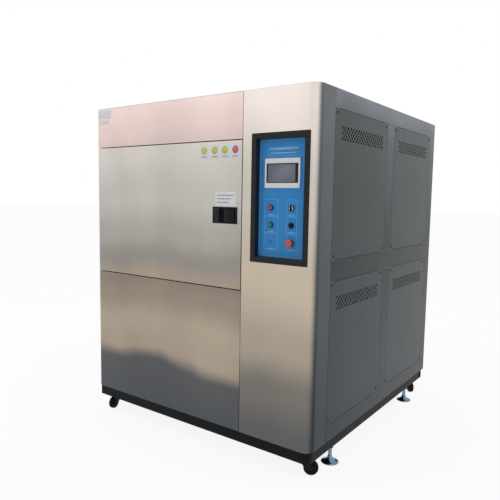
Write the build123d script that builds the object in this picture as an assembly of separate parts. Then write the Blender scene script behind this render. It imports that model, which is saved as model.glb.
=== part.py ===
from build123d import *
import math
import os

# Three-zone thermal test chamber on castors: hot zone on top, test zone behind the door, cold zone
# below, refrigeration at the bottom and the electrics behind the control column.
# Millimetres, X to the right, Y to the back, Z up, standing on z = 0.

# Cabinet
body_width = 1540.0
body_depth = 1640.0
body_height = 1720.0
sheet = 1.5
corner_radius = 30.0
column_radius = 50.0
seam_gap = 2.0
running_gap = 0.3
cut_past = 1.0
round_sides = 16
small_sides = 8
hex_sides = 6

# Base, castors and levelling feet
floor_gap = 90.0
base_height = 60.0
base_inset = 11.0
base_rail_width = 40.0
base_rail_wall = 3.0
base_bays = 3
floor_sheet = 2.0
castor_from_side = 76.0
castor_from_end = 84.0
castor_plate_length = 90.0
castor_plate_width = 70.0
castor_plate_thickness = 6.0
castor_trail = 36.0
wheel_radius = 37.5
wheel_width = 26.0
wheel_top_gap = 2.5
fork_thickness = 3.5
fork_side_gap = 2.0
fork_leg_gap = 3.0
fork_heel = 24.0
race_radius = 20.0
kingpin_radius = 6.0
kingpin_head_radius = 9.0
kingpin_head_height = 4.0
axle_radius = 4.0
axle_nut = 2.0
crown_overhang = 4.0
shaft_gap = 0.1
castor_angles = {"front_left": -78.0, "front_right": 29.0, "rear_left": 160.0, "rear_right": -46.0}
foot_from_side = 31.0
foot_from_front = 275.0
foot_from_back = 290.0
foot_radius = 46.0
foot_rim = 5.0
foot_stem_radius = 10.0
foot_shoulder = 8.0
foot_shoulder_radius = 25.0
foot_flare_height = 34.0
foot_neck_radius = 11.5
foot_travel = 30.0
foot_stem_gap = 3.0
foot_boss_radius = 17.0
foot_boss_height = 12.0
foot_hole_size = 24.0

# Front layout
column_width = 417.0
wrap_depth = 160.0
return_depth = 68.0
lower_cover_share = 0.429
door_share = 0.436
door_gap = 4.5
door_depth = 60.0

# Frame of square and flat tubes
post_width = 40.0
post_wall = 2.0
post_overlap = 45.0
post_setback = 20.0
seam_post_offset = 5.0
mid_rail_height = 80.0

# Right side
top_strip_height = 90.0
mid_strip_height = 104.0
bottom_strip_height = 86.0
rear_strip_width = 90.0
mullion_width = 100.0
screw_inset = 25.0
screw_edge = 20.0
screw_radius = 6.5
screw_height = 2.5

# Perforation of the vent panels
vent_hole_radius = 6.8
vent_hole_sides = 4
vent_pitch = 30.5
vent_row_pitch = 14.0
vent_long_row = 17
vent_rows = 5
vent_from_top = 112.0

# Left side and back
left_screw_rows = 3
grille_slots = 12
grille_side_gap = 30.0
grille_slot_height = 12.0
grille_pitch = 26.0
grille_from_base = 60.0

# Insulated zones
zone_left_share = 0.17
actuator_space = 116.0
zone_depth = 650.0
zone_wall = 100.0
zone_front_wall = 50.0
opening_margin = 150.0
cold_zone_height = 300.0
insulation_gap = 1.5
divider = 80.0
cold_floor = 90.0
damper_side_gap = 100.0
damper_slot_depth = 120.0
damper_from_front = 140.0
damper_lap = 10.0
damper_plate = 4.0
damper_shaft_radius = 6.0
actuator_size = 60.0

# Door
plug_depth = 60.0
plug_gap = 6.0
plug_radius = 12.0
gasket_width = 24.0
gasket_lap = 3.0
hinge_offset = 8.0
knuckle_radius = 7.5
hinge_pin_radius = 4.0
hinge_height = 96.0
hinge_leaf = 3.0
hinge_leaf_width = 34.0
hinge_door_leaf_width = 27.0
hinge_leaf_gap = 1.0
hinge_web_inset = 1.0
hinge_from_end = 90.0

# Latch
latch_from_edge = 24.0
latch_width = 160.5
latch_height = 85.0
latch_depth = 27.0
latch_flange = 2.0
latch_rim = 2.5
latch_border = 9.0
latch_floor = 3.0
latch_end = 13.5
latch_blank = 45.4
finger_width = 28.0
paddle_thickness = 4.0
paddle_bulge = 4.0
paddle_lip = 14.0
paddle_lip_thickness = 3.0
paddle_side_gap = 1.0
paddle_lug_wall = 2.0
paddle_end_gap = 7.0
paddle_pin_radius = 2.5
paddle_pin_depth = 10.0
paddle_pin_inset = 9.0
paddle_pin_end = 4.0
bolt_height = 16.0
bolt_width = 12.0
bolt_arm = 20.0
bolt_hook = 4.0
bolt_reach = 18.0
bolt_edge_gap = 3.0
bolt_liner_gap = 1.0
bolt_core_gap = 1.0
bolt_travel = 12.0
strike_margin = 10.0
strike_gap = 3.0

# Control panel
bezel_from_seam = 54.5
bezel_from_top = 208.5
bezel_width = 325.0
bezel_height = 621.0
bezel_border = 28.0
bezel_proud = 3.0
bezel_wall = 2.0
bezel_radius = 4.0
recess_depth = 28.0
panel_thickness = 3.0
screen_width = 199.0
screen_height = 141.5
screen_proud = 8.0
screen_from_top = 119.0
screen_flange = 4.5
screen_body_depth = 42.0
glass_width = 177.0
glass_height = 92.0
glass_thickness = 2.0
glass_drop = 1.0
left_controls = -62.0
right_controls = 55.0
lowest_control = 103.5
control_pitch = 82.0
control_levels = 3
collar_radius = 14.5
collar_height = 6.0
button_radius = 11.0
button_proud = 11.0
button_travel = 3.0
selector_height = 9.0
selector_grip = 8.0
selector_grip_width = 6.0
selector_grip_length = 20.5
estop_radius = 20.0
estop_head = 12.0
estop_edge = 3.0
estop_neck_radius = 10.0
estop_collar_radius = 18.0
estop_proud = 30.0
estop_travel = 5.0
switch_body_size = 30.0
switch_body_height = 45.0
switch_body_depth = 50.0
socket_slot_width = 3.0
socket_slot_height = 14.0
socket_slot_pitch = 10.0

# Shelf
shelf_above_floor = 143.0
runner_width = 20.0
runner_thickness = 2.0
shelf_side_gap = 5.0
shelf_back_gap = 6.0
shelf_stop_gap = 4.0
shelf_bar = 8.0
shelf_wire = 3.0
shelf_wires = 16
shelf_travel = 90.0

# Fans, coils and machinery
heater_rods_count = 4
heater_rod_radius = 5.0
heater_pitch = 30.0
heater_from_back = 150.0
blower_disc = 3.0
blower_blade_depth = 45.0
blower_blades = 8
blade_thickness = 2.0
fan_nose = 30.0
blower_blade_chord = 26.0
blower_blade_angle = 35.0
hot_fan_gap = 20.0
cold_fan_gap = 60.0
fan_shaft_radius = 12.0
fan_wall_gap = 12.0
motor_radius = 60.0
motor_length = 140.0
coil_side_gap = 40.0
coil_depth = 90.0
coil_from_back = 110.0
coil_fins = 10
fin_overhang = 8.0
coil_head_room = 60.0
coil_fin_thickness = 6.0
compressor_share = 0.158
compressor_head_room = 125.0
compressor_dome = 28.0
compressor_base_margin = 15.0
compressor_base_thickness = 12.0
compressor_from_front = 420.0
condenser_height_share = 0.635
condenser_depth = 60.0
condenser_from_back = 60.0
condenser_stand = 18.0
shroud_depth = 40.0
shroud_wall = 2.0
condenser_fan_share = 0.28
condenser_fan_gap = 6.0
condenser_hub_radius = 36.0
condenser_blades = 5
condenser_blade_width = 54.0
condenser_blade_root = 7.0
condenser_hub_cap = 3.0
condenser_blade_angle = 28.0
condenser_motor_radius = 45.0
condenser_motor_length = 90.0
motor_strut = 16.0
electric_plate = 2.5
electric_plate_height = 700.0
electric_plate_from_top = 80.0
din_rail_height = 35.0
din_rail_depth = 8.0
din_rows = 3
din_blocks = 6
din_block_width = 70.0
din_block_height = 90.0
din_block_depth = 75.0

# Planes of the cabinet that the sizes above give
right = body_width / 2
left = -right
back = body_depth / 2
front = -back
base_top = floor_gap + base_height
top = base_top + body_height
under_roof = top - sheet
skin_right = right - sheet
skin_left = left + sheet
skin_back = back - sheet
seam_x = right - column_width
frame_face = front + return_depth
frame_front = frame_face + sheet
door_back = front + door_depth
lower_seam = base_top + body_height * lower_cover_share
upper_seam = lower_seam + body_height * door_share
door_bottom = lower_seam + door_gap / 2
door_top = upper_seam - door_gap / 2
door_right = seam_x - door_gap
cover_right = seam_x - seam_gap
lower_cover_top = lower_seam - door_gap / 2
upper_cover_bottom = upper_seam + door_gap / 2
floor_top = base_top + floor_sheet
post_top = under_roof - post_width
back_split = base_top + body_height / 2
base_cross_offset = body_depth / base_bays / 2

# Side panel rows and columns
vent_front = front + wrap_depth
vent_panel_width = (body_depth - wrap_depth - rear_strip_width - mullion_width) / 2
vent_columns = [
    (vent_front, vent_front + vent_panel_width),
    (back - rear_strip_width - vent_panel_width, back - rear_strip_width),
]
vent_panel_height = (body_height - top_strip_height - mid_strip_height - bottom_strip_height) / 2
lower_vent_bottom = base_top + bottom_strip_height
upper_vent_bottom = lower_vent_bottom + vent_panel_height + mid_strip_height
seam_post_right = seam_x - seam_post_offset
seam_post_left = seam_post_right - post_width

# Zones
zone_left = left + body_width * zone_left_share
zone_right = seam_post_left - actuator_space - zone_wall
zone_width = zone_right - zone_left
zone_front = frame_front + zone_front_wall
zone_back = zone_front + zone_depth
test_floor = lower_seam + opening_margin
test_ceiling = upper_seam - opening_margin
cold_ceiling = test_floor - divider
cold_bottom = cold_ceiling - cold_zone_height
hot_bottom = test_ceiling + divider
insulation_top = post_top - insulation_gap
hot_ceiling = insulation_top - divider
insulation_bottom = cold_bottom - cold_floor
zone_centre = (zone_left + zone_right) / 2
damper_x = (zone_left + damper_side_gap, zone_right - damper_side_gap)
damper_y = (zone_front + damper_from_front, zone_front + damper_from_front + damper_slot_depth)
damper_hinge_y = damper_y[1] + damper_lap
damper_drop = sheet + running_gap + damper_shaft_radius
hot_damper_z = hot_bottom + damper_drop
cold_damper_z = cold_ceiling - damper_drop
hot_fan_z = (hot_bottom + hot_ceiling) / 2
cold_fan_z = (cold_bottom + cold_ceiling) / 2
hot_fan_radius = (hot_ceiling - hot_bottom) / 2 - hot_fan_gap
cold_fan_radius = (cold_ceiling - cold_bottom) / 2 - cold_fan_gap
motor_front = zone_back + zone_wall
mid_post_front = motor_front - post_width
left_panel_split = mid_post_front + post_width / 2
coil_width = zone_width - 2 * coil_side_gap
compressor_radius = zone_width * compressor_share
compressor_base = 2 * (compressor_radius + compressor_base_margin)
compressor_spacing = zone_width - compressor_base
compressor_height = insulation_bottom - compressor_head_room - floor_top

# Door and latch
hinge_x = left - hinge_offset
hinge_y = door_back
hinge_levels = [door_bottom + hinge_from_end, door_top - hinge_from_end - hinge_height]
plug_left = zone_left + plug_gap
plug_right = zone_right - plug_gap
plug_bottom = test_floor + plug_gap
plug_top = test_ceiling - plug_gap
plug_back = door_back + plug_depth
latch_right = door_right - latch_from_edge
latch_left = latch_right - latch_width
latch_z = (lower_seam + upper_seam) / 2
pocket_left = latch_left + latch_blank
pocket_right = latch_right - latch_end
pocket_half = latch_height / 2 - latch_border
paddle_right = pocket_right - paddle_end_gap
paddle_left = pocket_left + finger_width
paddle_pin_x = paddle_right + paddle_end_gap - paddle_pin_inset
paddle_pin_y = front + paddle_pin_depth
bolt_right = door_right - sheet - bolt_edge_gap
bolt_left = bolt_right - bolt_hook - bolt_width
bolt_tip = door_back + bolt_reach

# Control panel
bezel_left = seam_x + bezel_from_seam
bezel_x = bezel_left + bezel_width / 2
bezel_top = top - bezel_from_top
bezel_bottom = bezel_top - bezel_height
window_half = bezel_width / 2 - bezel_border
window_bottom = bezel_bottom + bezel_border
window_top = bezel_top - bezel_border
panel_face = front + recess_depth
panel_rear = panel_face + panel_thickness
screen_top = bezel_top - screen_from_top
screen_z = screen_top - screen_height / 2
control_rows = [bezel_bottom + lowest_control + row * control_pitch for row in range(control_levels)]
socket_x = bezel_x + left_controls
button_places = {
    "red_button": (bezel_x + left_controls, control_rows[2]),
    "green_button": (bezel_x + left_controls, control_rows[1]),
    "black_button": (bezel_x + right_controls, control_rows[1]),
}
selector_place = (bezel_x + right_controls, control_rows[2])
estop_place = (bezel_x + right_controls, control_rows[0])

# Castors and feet
castor_places = {
    "front_left": (left + castor_from_side, front + castor_from_end),
    "front_right": (right - castor_from_side, front + castor_from_end),
    "rear_left": (left + castor_from_side, back - castor_from_end),
    "rear_right": (right - castor_from_side, back - castor_from_end),
}
foot_places = {
    "front_left": (left + foot_from_side, front + foot_from_front),
    "front_right": (right - foot_from_side, front + foot_from_front),
    "rear_left": (left + foot_from_side, back - foot_from_back),
    "rear_right": (right - foot_from_side, back - foot_from_back),
}
foot_stem_top = base_top - base_rail_wall - foot_travel - foot_stem_gap
castor_plate_bottom = floor_gap - castor_plate_thickness
race_top = castor_plate_bottom - running_gap
crown_bottom = 2 * wheel_radius + wheel_top_gap
crown_top = crown_bottom + fork_thickness
leg_inner = wheel_width / 2 + fork_side_gap
leg_outer = leg_inner + fork_leg_gap

# Shelf
runner_top = test_floor + shelf_above_floor
shelf_back = zone_back - sheet - shelf_back_gap
shelf_front = plug_back + shelf_travel + shelf_stop_gap
shelf_left = zone_left + sheet + shelf_side_gap
shelf_right = zone_right - sheet - shelf_side_gap
shelf_bottom = runner_top + running_gap

# Condenser
condenser_x = zone_centre
condenser_width = coil_width
condenser_height = condenser_width * condenser_height_share
condenser_fan_radius = condenser_width * condenser_fan_share
condenser_rear = skin_back - condenser_from_back
condenser_front = condenser_rear - condenser_depth
condenser_bottom = floor_top + condenser_stand
condenser_z = condenser_bottom + condenser_height / 2
shroud_front = condenser_front - shroud_depth
condenser_fan_length = shroud_depth - condenser_fan_gap
condenser_motor_back = shroud_front - running_gap


def box(x0, x1, y0, y1, z0, z1):
    middle = Pos((x0 + x1) / 2, (y0 + y1) / 2, (z0 + z1) / 2)
    return middle * Box(x1 - x0, y1 - y0, z1 - z0)


def rod_x(x0, x1, y, z, radius):
    return Pos((x0 + x1) / 2, y, z) * Rot(0, 90, 0) * Cylinder(radius, x1 - x0)


def rod_y(x, y0, y1, z, radius):
    return Pos(x, (y0 + y1) / 2, z) * Rot(90, 0, 0) * Cylinder(radius, y1 - y0)


def rod_z(x, y, z0, z1, radius):
    return Pos(x, y, (z0 + z1) / 2) * Cylinder(radius, z1 - z0)


def flats(radius, sides, around):
    """Outline with flats in place of a full circle, inside the circle or round it."""
    return RegularPolygon(radius, sides, major_radius=not around)


def prism_x(x0, x1, y, z, radius, sides=round_sides, around=False):
    return Pos(x0, y, z) * extrude(Plane.YZ * flats(radius, sides, around), x1 - x0)


def prism_y(x, y0, y1, z, radius, sides=round_sides, around=False):
    return Pos(x, y1, z) * extrude(Plane.XZ * flats(radius, sides, around), y1 - y0)


def prism_z(x, y, z0, z1, radius, sides=round_sides, around=False):
    return Pos(x, y, z0) * extrude(flats(radius, sides, around), z1 - z0)


def taper_angle(start_radius, end_radius, length):
    """Slope of the flats between two radii of round stock."""
    return math.degrees(math.atan((start_radius - end_radius) * math.cos(math.pi / round_sides) / length))


def taper_z(x, y, z0, z1, start_radius, end_radius):
    slope = taper_angle(start_radius, end_radius, z1 - z0)
    return Pos(x, y, z0) * extrude(RegularPolygon(start_radius, round_sides), z1 - z0, taper=slope)


def group(pieces):
    """Separate solids of one node."""
    return Compound([solid for piece in pieces for solid in piece.solids()])


def rounded_front(x0, x1, y0, y1, z0, z1, radius, at_left, at_right):
    """Block with its front vertical edges rounded, on either side or both."""
    block = box(x0, x1, y0, y1, z0, z1)
    front_edges = block.edges().filter_by(Axis.Z).group_by(Axis.Y)[0].sort_by(Axis.X)
    chosen = []
    if at_left:
        chosen.append(front_edges[0])
    if at_right:
        chosen.append(front_edges[-1])
    return fillet(chosen, radius)


def tube_x(x0, x1, y0, y1, z0, z1, wall):
    inner = box(x0 - cut_past, x1 + cut_past, y0 + wall, y1 - wall, z0 + wall, z1 - wall)
    return box(x0, x1, y0, y1, z0, z1) - inner


def tube_y(x0, x1, y0, y1, z0, z1, wall):
    inner = box(x0 + wall, x1 - wall, y0 - cut_past, y1 + cut_past, z0 + wall, z1 - wall)
    return box(x0, x1, y0, y1, z0, z1) - inner


def tube_z(x0, x1, y0, y1, z0, z1, wall):
    inner = box(x0 + wall, x1 - wall, y0 + wall, y1 - wall, z0 - cut_past, z1 + cut_past)
    return box(x0, x1, y0, y1, z0, z1) - inner


def base_front_rail(x0, x1, y0, y1):
    """Front tube, its right end closed by a wall that follows the column's corner."""
    radius = column_radius - base_inset
    wall = base_rail_wall
    z = (floor_gap, base_top)
    inner_z = (floor_gap + wall, base_top - wall)
    outline = rounded_front(x0, x1, y0, y1, *z, radius, False, True)
    hollow = rounded_front(x0 - cut_past, x1 - wall, y0 + wall, y1, *inner_z, radius - wall, False, True)
    rail_back = y0 + base_rail_width
    rail = outline & box(x0, x1, y0, rail_back, *z)
    return rail - (hollow & box(x0 - cut_past, x1, y0, rail_back - wall, *inner_z))


def base_frame():
    """Welded perimeter of flat tube with two cross members and the floor sheet on top."""
    x0 = left + base_inset
    x1 = right - base_inset
    y0 = front + base_inset
    y1 = back - base_inset
    width = base_rail_width
    wall = base_rail_wall
    rails = [
        base_front_rail(x0, x1, y0, y1),
        tube_x(x0, x1, y1 - width, y1, floor_gap, base_top, wall),
    ]
    for start in (x0, x1 - width):
        rail = tube_y(start, start + width, y0 + width, y1 - width, floor_gap, base_top, wall)
        for x, y in foot_places.values():
            half = foot_hole_size / 2
            hole_z = (floor_gap - cut_past, floor_gap + wall + cut_past)
            rail -= box(x - half, x + half, y - half, y + half, *hole_z)
        rails.append(rail)
    for y in (-base_cross_offset, base_cross_offset):
        half = width / 2
        rails.append(tube_x(x0 + width, x1 - width, y - half, y + half, floor_gap, base_top, wall))
    rails.append(box(skin_left, skin_right, frame_front, skin_back, base_top, floor_top))
    return group(rails)


def castor_and_foot_plates():
    """Castor top plates with their kingpins, and the threaded bosses of the levelling feet."""
    pieces = []
    for x, y in castor_places.values():
        half_x = castor_plate_width / 2
        half_y = castor_plate_length / 2
        plate = box(x - half_x, x + half_x, y - half_y, y + half_y, castor_plate_bottom, floor_gap)
        head_top = crown_bottom - running_gap
        plate += rod_z(x, y, head_top - kingpin_head_height, castor_plate_bottom, kingpin_radius)
        plate += prism_z(x, y, head_top - kingpin_head_height, head_top, kingpin_head_radius, hex_sides)
        pieces.append(plate)
    for x, y in foot_places.values():
        boss = prism_z(x, y, floor_gap - foot_boss_height, floor_gap, foot_boss_radius, hex_sides)
        bore_radius = foot_stem_radius + shaft_gap
        bore = prism_z(x, y, floor_gap - foot_boss_height, floor_gap, bore_radius, small_sides, True)
        pieces.append(boss - bore)
    return group(pieces)


def castor_fork(name):
    """Pressed fork: crown, ball race, two raked legs and the axle, around the kingpin."""
    reach = leg_outer + crown_overhang
    nose = reach + crown_overhang
    crown = box(-reach, nose, -leg_outer, leg_outer, crown_bottom, crown_top)
    fork = crown + prism_z(0, 0, crown_top, race_top, race_radius)
    outline = Polyline(
        (-reach, 0, crown_bottom),
        (nose, 0, crown_bottom),
        (castor_trail + 2.5 * axle_radius, 0, wheel_radius),
        (castor_trail + axle_radius, 0, wheel_radius - 2 * axle_radius),
        (castor_trail - fork_heel, 0, wheel_radius - 2 * axle_radius),
        close=True,
    )
    leg = extrude(make_face(outline), fork_leg_gap, dir=(0, 1, 0))
    fork += Pos(0, leg_inner, 0) * leg
    fork += Pos(0, -leg_outer, 0) * leg
    axle_end = leg_outer + axle_nut
    fork += prism_y(castor_trail, -axle_end, axle_end, wheel_radius, axle_radius, hex_sides)
    bore_radius = kingpin_radius + shaft_gap
    fork -= prism_z(0, 0, crown_bottom - cut_past, race_top + cut_past, bore_radius, small_sides, True)
    x, y = castor_places[name]
    return Location((x, y, 0), (0, 0, castor_angles[name])) * fork


def castor_wheel(name):
    wheel = prism_y(castor_trail, -wheel_width / 2, wheel_width / 2, wheel_radius, wheel_radius)
    wheel -= rod_y(castor_trail, -wheel_width, wheel_width, wheel_radius, axle_radius + shaft_gap)
    x, y = castor_places[name]
    return Location((x, y, 0), (0, 0, castor_angles[name])) * wheel


def levelling_foot(name):
    """Turned foot: flat disc, flared neck and a stem that screws up into its boss."""
    x, y = foot_places[name]
    shoulder = foot_rim + foot_shoulder
    foot = prism_z(x, y, 0, foot_rim, foot_radius)
    foot += taper_z(x, y, foot_rim, shoulder, foot_radius, foot_shoulder_radius)
    foot += taper_z(x, y, shoulder, foot_flare_height, foot_shoulder_radius, foot_neck_radius)
    return foot + prism_z(x, y, foot_flare_height / 2, foot_stem_top, foot_stem_radius, small_sides)


def cabinet_frame():
    """Posts, roof rails and the beams that carry the insulated zones."""
    outer_left = (skin_left, skin_left + post_width)
    outer_right = (skin_right - post_width, skin_right)
    seam_post = (seam_post_left, seam_post_right)
    first = (frame_front, frame_front + post_width)
    middle = (mid_post_front, mid_post_front + post_width)
    last = (skin_back - post_width, skin_back)
    front_vent, rear_vent = vent_columns
    places = [
        (outer_left, first),
        (outer_left, middle),
        (outer_left, last),
        (seam_post, first),
        (seam_post, middle),
        (outer_right, (front_vent[0] - post_setback, front_vent[0] + post_overlap)),
        (outer_right, (front_vent[1] - post_overlap, rear_vent[0] + post_overlap)),
        (outer_right, (rear_vent[1] - post_overlap, skin_back)),
    ]
    posts = [tube_z(*x, *y, floor_top, post_top, post_wall) for x, y in places]
    half_window = bolt_height / 2 + strike_margin
    window = box(
        bolt_left - bolt_travel, bolt_right + strike_gap, frame_front - cut_past,
        frame_front + post_width / 2, latch_z - half_window, latch_z + half_window,
    )
    posts[3] -= window
    rails = [
        tube_y(*outer_left, frame_front, skin_back, post_top, under_roof, post_wall),
        tube_y(*outer_right, frame_front, skin_back, post_top, under_roof, post_wall),
    ]
    inner_x = (outer_left[1], outer_right[0])
    for y in (first, last):
        rails.append(tube_x(*inner_x, *y, post_top, under_roof, post_wall))
    beam_z = (insulation_bottom - post_width, insulation_bottom)
    for y in (first, middle):
        rails.append(tube_x(outer_left[1], seam_post[0], *y, *beam_z, post_wall))
    rail_middle = upper_vent_bottom - mid_strip_height / 2
    rail_z = (rail_middle - mid_rail_height / 2, rail_middle + mid_rail_height / 2)
    for start, end in ((places[5][1][1], places[6][1][0]), (places[6][1][1], places[7][1][0])):
        rails.append(tube_y(*outer_right, start, end, *rail_z, post_wall))
    back_z = (back_split - post_width / 2, back_split + post_width / 2)
    rails.append(tube_x(*inner_x, *last, *back_z, post_wall))
    return group(posts + rails)


def column_cover():
    """Control column: front, rounded right corner and side wrap in one folded sheet."""
    outer = rounded_front(
        seam_x, right, front, vent_front - seam_gap / 2, base_top, under_roof, column_radius, False, True
    )
    hollow = rounded_front(
        seam_x + sheet, skin_right, front + sheet, vent_front + cut_past, base_top - cut_past,
        under_roof + cut_past, column_radius - sheet, False, True,
    )
    cover = outer - hollow
    cover -= box(
        seam_x - cut_past, seam_x + sheet + cut_past, frame_face, vent_front + cut_past,
        base_top - cut_past, under_roof + cut_past,
    )
    half = window_half + bezel_wall + running_gap
    cover -= box(
        bezel_x - half, bezel_x + half, front - cut_past, front + sheet + cut_past,
        window_bottom - bezel_wall - running_gap, window_top + bezel_wall + running_gap,
    )
    return cover


def left_cover(z0, z1):
    """Cover left of the seam: front with folded returns and a wrap round the left corner."""
    outer = rounded_front(
        left, cover_right, front, vent_front - seam_gap / 2, z0, z1, corner_radius, True, False
    )
    hollow = rounded_front(
        skin_left, cover_right - sheet, front + sheet, vent_front + cut_past, z0 + sheet, z1 - sheet,
        corner_radius - sheet, True, False,
    )
    behind = box(
        skin_left, cover_right + cut_past, frame_face, vent_front + cut_past, z0 - cut_past, z1 + cut_past
    )
    return outer - hollow - behind


def door_frame():
    """Plates round the opening, the hinge jamb, the strike plate for the latch tongue."""
    z0 = lower_seam - 2 * door_gap
    z1 = upper_seam + 2 * door_gap
    end_x = seam_x + sheet
    pieces = [
        box(skin_left, zone_left, frame_face, frame_front, z0, z1),
        box(zone_left, zone_right, frame_face, frame_front, z0, test_floor),
        box(zone_left, zone_right, frame_face, frame_front, test_ceiling, z1),
    ]
    half = bolt_height / 2 + strike_margin
    window = (bolt_left - bolt_travel - strike_gap, bolt_right + strike_gap)
    side = box(zone_right, end_x, frame_face, frame_front, z0, z1)
    window_z = (latch_z - half, latch_z + half)
    pieces.append(side - box(*window, frame_face - cut_past, frame_front + cut_past, *window_z))
    jamb_front = door_back + seam_gap
    jamb_back = vent_front - seam_gap / 2
    pieces.append(box(left, skin_left, jamb_front, jamb_back, lower_seam, upper_seam))
    lap = strike_margin / 2
    strike = box(
        window[0] - lap, window[1] + sheet, frame_face - sheet, frame_face,
        latch_z - half - lap, latch_z + half + lap,
    )
    pieces.append(strike - box(*window, frame_face - 2 * sheet, frame_face + cut_past, *window_z))
    return group(pieces)


def roof_panel():
    """Sheet rounded like the covers under it, at the column's larger radius on the right."""
    roof = rounded_front(left, right, front, back, under_roof, top, corner_radius, True, False)
    right_edge = roof.edges().filter_by(Axis.Z).group_by(Axis.X)[-1].sort_by(Axis.Y)[0]
    return fillet(right_edge, column_radius)


def right_side_strips():
    """Fixed sheets between and round the vent panels."""
    half = seam_gap / 2
    front_vent, rear_vent = vent_columns
    bands = [
        (base_top, lower_vent_bottom - half),
        (lower_vent_bottom + vent_panel_height + half, upper_vent_bottom - half),
        (upper_vent_bottom + vent_panel_height + half, under_roof),
    ]
    strips = [box(skin_right, right, vent_front + half, back, z0, z1) for z0, z1 in bands]
    for bottom in (lower_vent_bottom, upper_vent_bottom):
        z = (bottom + half, bottom + vent_panel_height - half)
        strips.append(box(skin_right, right, front_vent[1] + half, rear_vent[0] - half, *z))
        strips.append(box(skin_right, right, rear_vent[1] + half, back, *z))
    return group(strips)


def vent_holes():
    """Staggered field of the holes, centred on the origin of the YZ plane."""
    places = []
    for row in range(vent_rows):
        count = vent_long_row - row % 2
        z = ((vent_rows - 1) / 2 - row) * vent_row_pitch
        for step in range(count):
            places.append((0, (step - (count - 1) / 2) * vent_pitch, z))
    return places


def vent_panel(y0, y1, z0):
    """Removable sheet with its perforated field near the top."""
    half = seam_gap / 2
    z1 = z0 + vent_panel_height
    panel = box(skin_right, right, y0 + half, y1 - half, z0 + half, z1 - half)
    centre = Location((skin_right - cut_past, (y0 + y1) / 2, z1 - vent_from_top))
    outline = Plane.YZ * RegularPolygon(vent_hole_radius, vent_hole_sides, rotation=180 / vent_hole_sides)
    punch = extrude(outline, sheet + 2 * cut_past, dir=(1, 0, 0))
    return panel - [centre * Pos(*place) * punch for place in vent_holes()]


def vent_panels(z0):
    return group([vent_panel(y0, y1, z0) for y0, y1 in vent_columns])


def left_side_panels():
    half = seam_gap / 2
    spans = [(vent_front + half, left_panel_split - half), (left_panel_split + half, back)]
    return group([box(left, skin_left, y0, y1, base_top, under_roof) for y0, y1 in spans])


def back_panels():
    """Two sheets between the side skins; the lower one is slotted for the condenser air."""
    half = seam_gap / 2
    upper = box(skin_left, skin_right, skin_back, back, back_split + half, under_roof)
    lower = box(skin_left, skin_right, skin_back, back, base_top, back_split - half)
    reach = condenser_width / 2 - grille_side_gap
    slots = []
    for index in range(grille_slots):
        z = base_top + grille_from_base + index * grille_pitch
        slot_x = (condenser_x - reach, condenser_x + reach)
        slots.append(box(*slot_x, skin_back - cut_past, back + cut_past, z, z + grille_slot_height))
    return group([upper, lower - slots])


def screw_head(place, turn):
    """Six-sided head lying on a skin, its axis turned from +Z."""
    head = extrude(RegularPolygon(screw_radius, hex_sides), screw_height)
    return Location(place, turn) * head


def panel_screws():
    """Heads of the screws that hold the side and back panels to the posts."""
    heads = []
    for y0, y1 in vent_columns:
        for bottom in (lower_vent_bottom, upper_vent_bottom):
            for y in (y0 + screw_inset, y1 - screw_inset):
                for z in (bottom + screw_edge, bottom + vent_panel_height - screw_edge):
                    heads.append(screw_head((right, y, z), (0, 90, 0)))
    edge = screw_inset
    pitch = (body_height - 2 * edge) / (left_screw_rows - 1)
    levels = [base_top + edge + row * pitch for row in range(left_screw_rows)]
    for y in (vent_front + edge, left_panel_split - edge / 2, left_panel_split + edge / 2, back - edge):
        for z in levels:
            heads.append(screw_head((left, y, z), (0, -90, 0)))
    for x in (left + edge, right - edge):
        for z in (base_top + edge, back_split - edge / 2, back_split + edge / 2, top - edge):
            heads.append(screw_head((x, back, z), (-90, 0, 0)))
    return group(heads)


def shaft_hole_x(x0, x1, z):
    """Hole for a damper shaft."""
    return prism_x(x0, x1, damper_hinge_y, z, damper_shaft_radius + running_gap, small_sides, True)


def shaft_hole_y(y0, y1, z):
    """Hole for a fan shaft."""
    return prism_y(zone_centre, y0, y1, z, fan_shaft_radius + running_gap, small_sides, True)


def insulation():
    """Flat slabs round and between the three zones, with the damper slots and shaft holes."""
    x0, x1 = zone_left, zone_right
    y0, y1 = frame_front, zone_back
    right_slab = box(x1, x1 + zone_wall, y0, y1 + zone_wall, insulation_bottom, insulation_top)
    for z in (hot_damper_z, cold_damper_z):
        right_slab -= shaft_hole_x(x1 - cut_past, x1 + zone_wall + cut_past, z)
    rear_slab = box(x0, x1, y1, y1 + zone_wall, insulation_bottom, insulation_top)
    for z in (hot_fan_z, cold_fan_z):
        rear_slab -= shaft_hole_y(y1 - cut_past, y1 + zone_wall + cut_past, z)
    slot = box(*damper_x, *damper_y, insulation_bottom, insulation_top)
    slabs = [
        box(x0 - zone_wall, x0, y0, y1 + zone_wall, insulation_bottom, insulation_top),
        right_slab,
        rear_slab,
        box(x0, x1, y0, y1, insulation_bottom, cold_bottom),
        box(x0, x1, y0, y1, cold_ceiling, test_floor) - slot,
        box(x0, x1, y0, y1, test_ceiling, hot_bottom) - slot,
        box(x0, x1, y0, y1, hot_ceiling, insulation_top),
        box(x0, x1, y0, zone_front, cold_bottom, cold_ceiling),
        box(x0, x1, y0, zone_front, hot_bottom, hot_ceiling),
    ]
    return group(slabs)


def liner(y0, z0, z1, open_front):
    """Stainless box just inside the insulation, with its damper slots."""
    outer = box(zone_left, zone_right, y0, zone_back, z0, z1)
    inner_front = y0 - cut_past if open_front else y0 + sheet
    inner = box(
        zone_left + sheet, zone_right - sheet, inner_front, zone_back - sheet, z0 + sheet, z1 - sheet
    )
    return outer - inner


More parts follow.
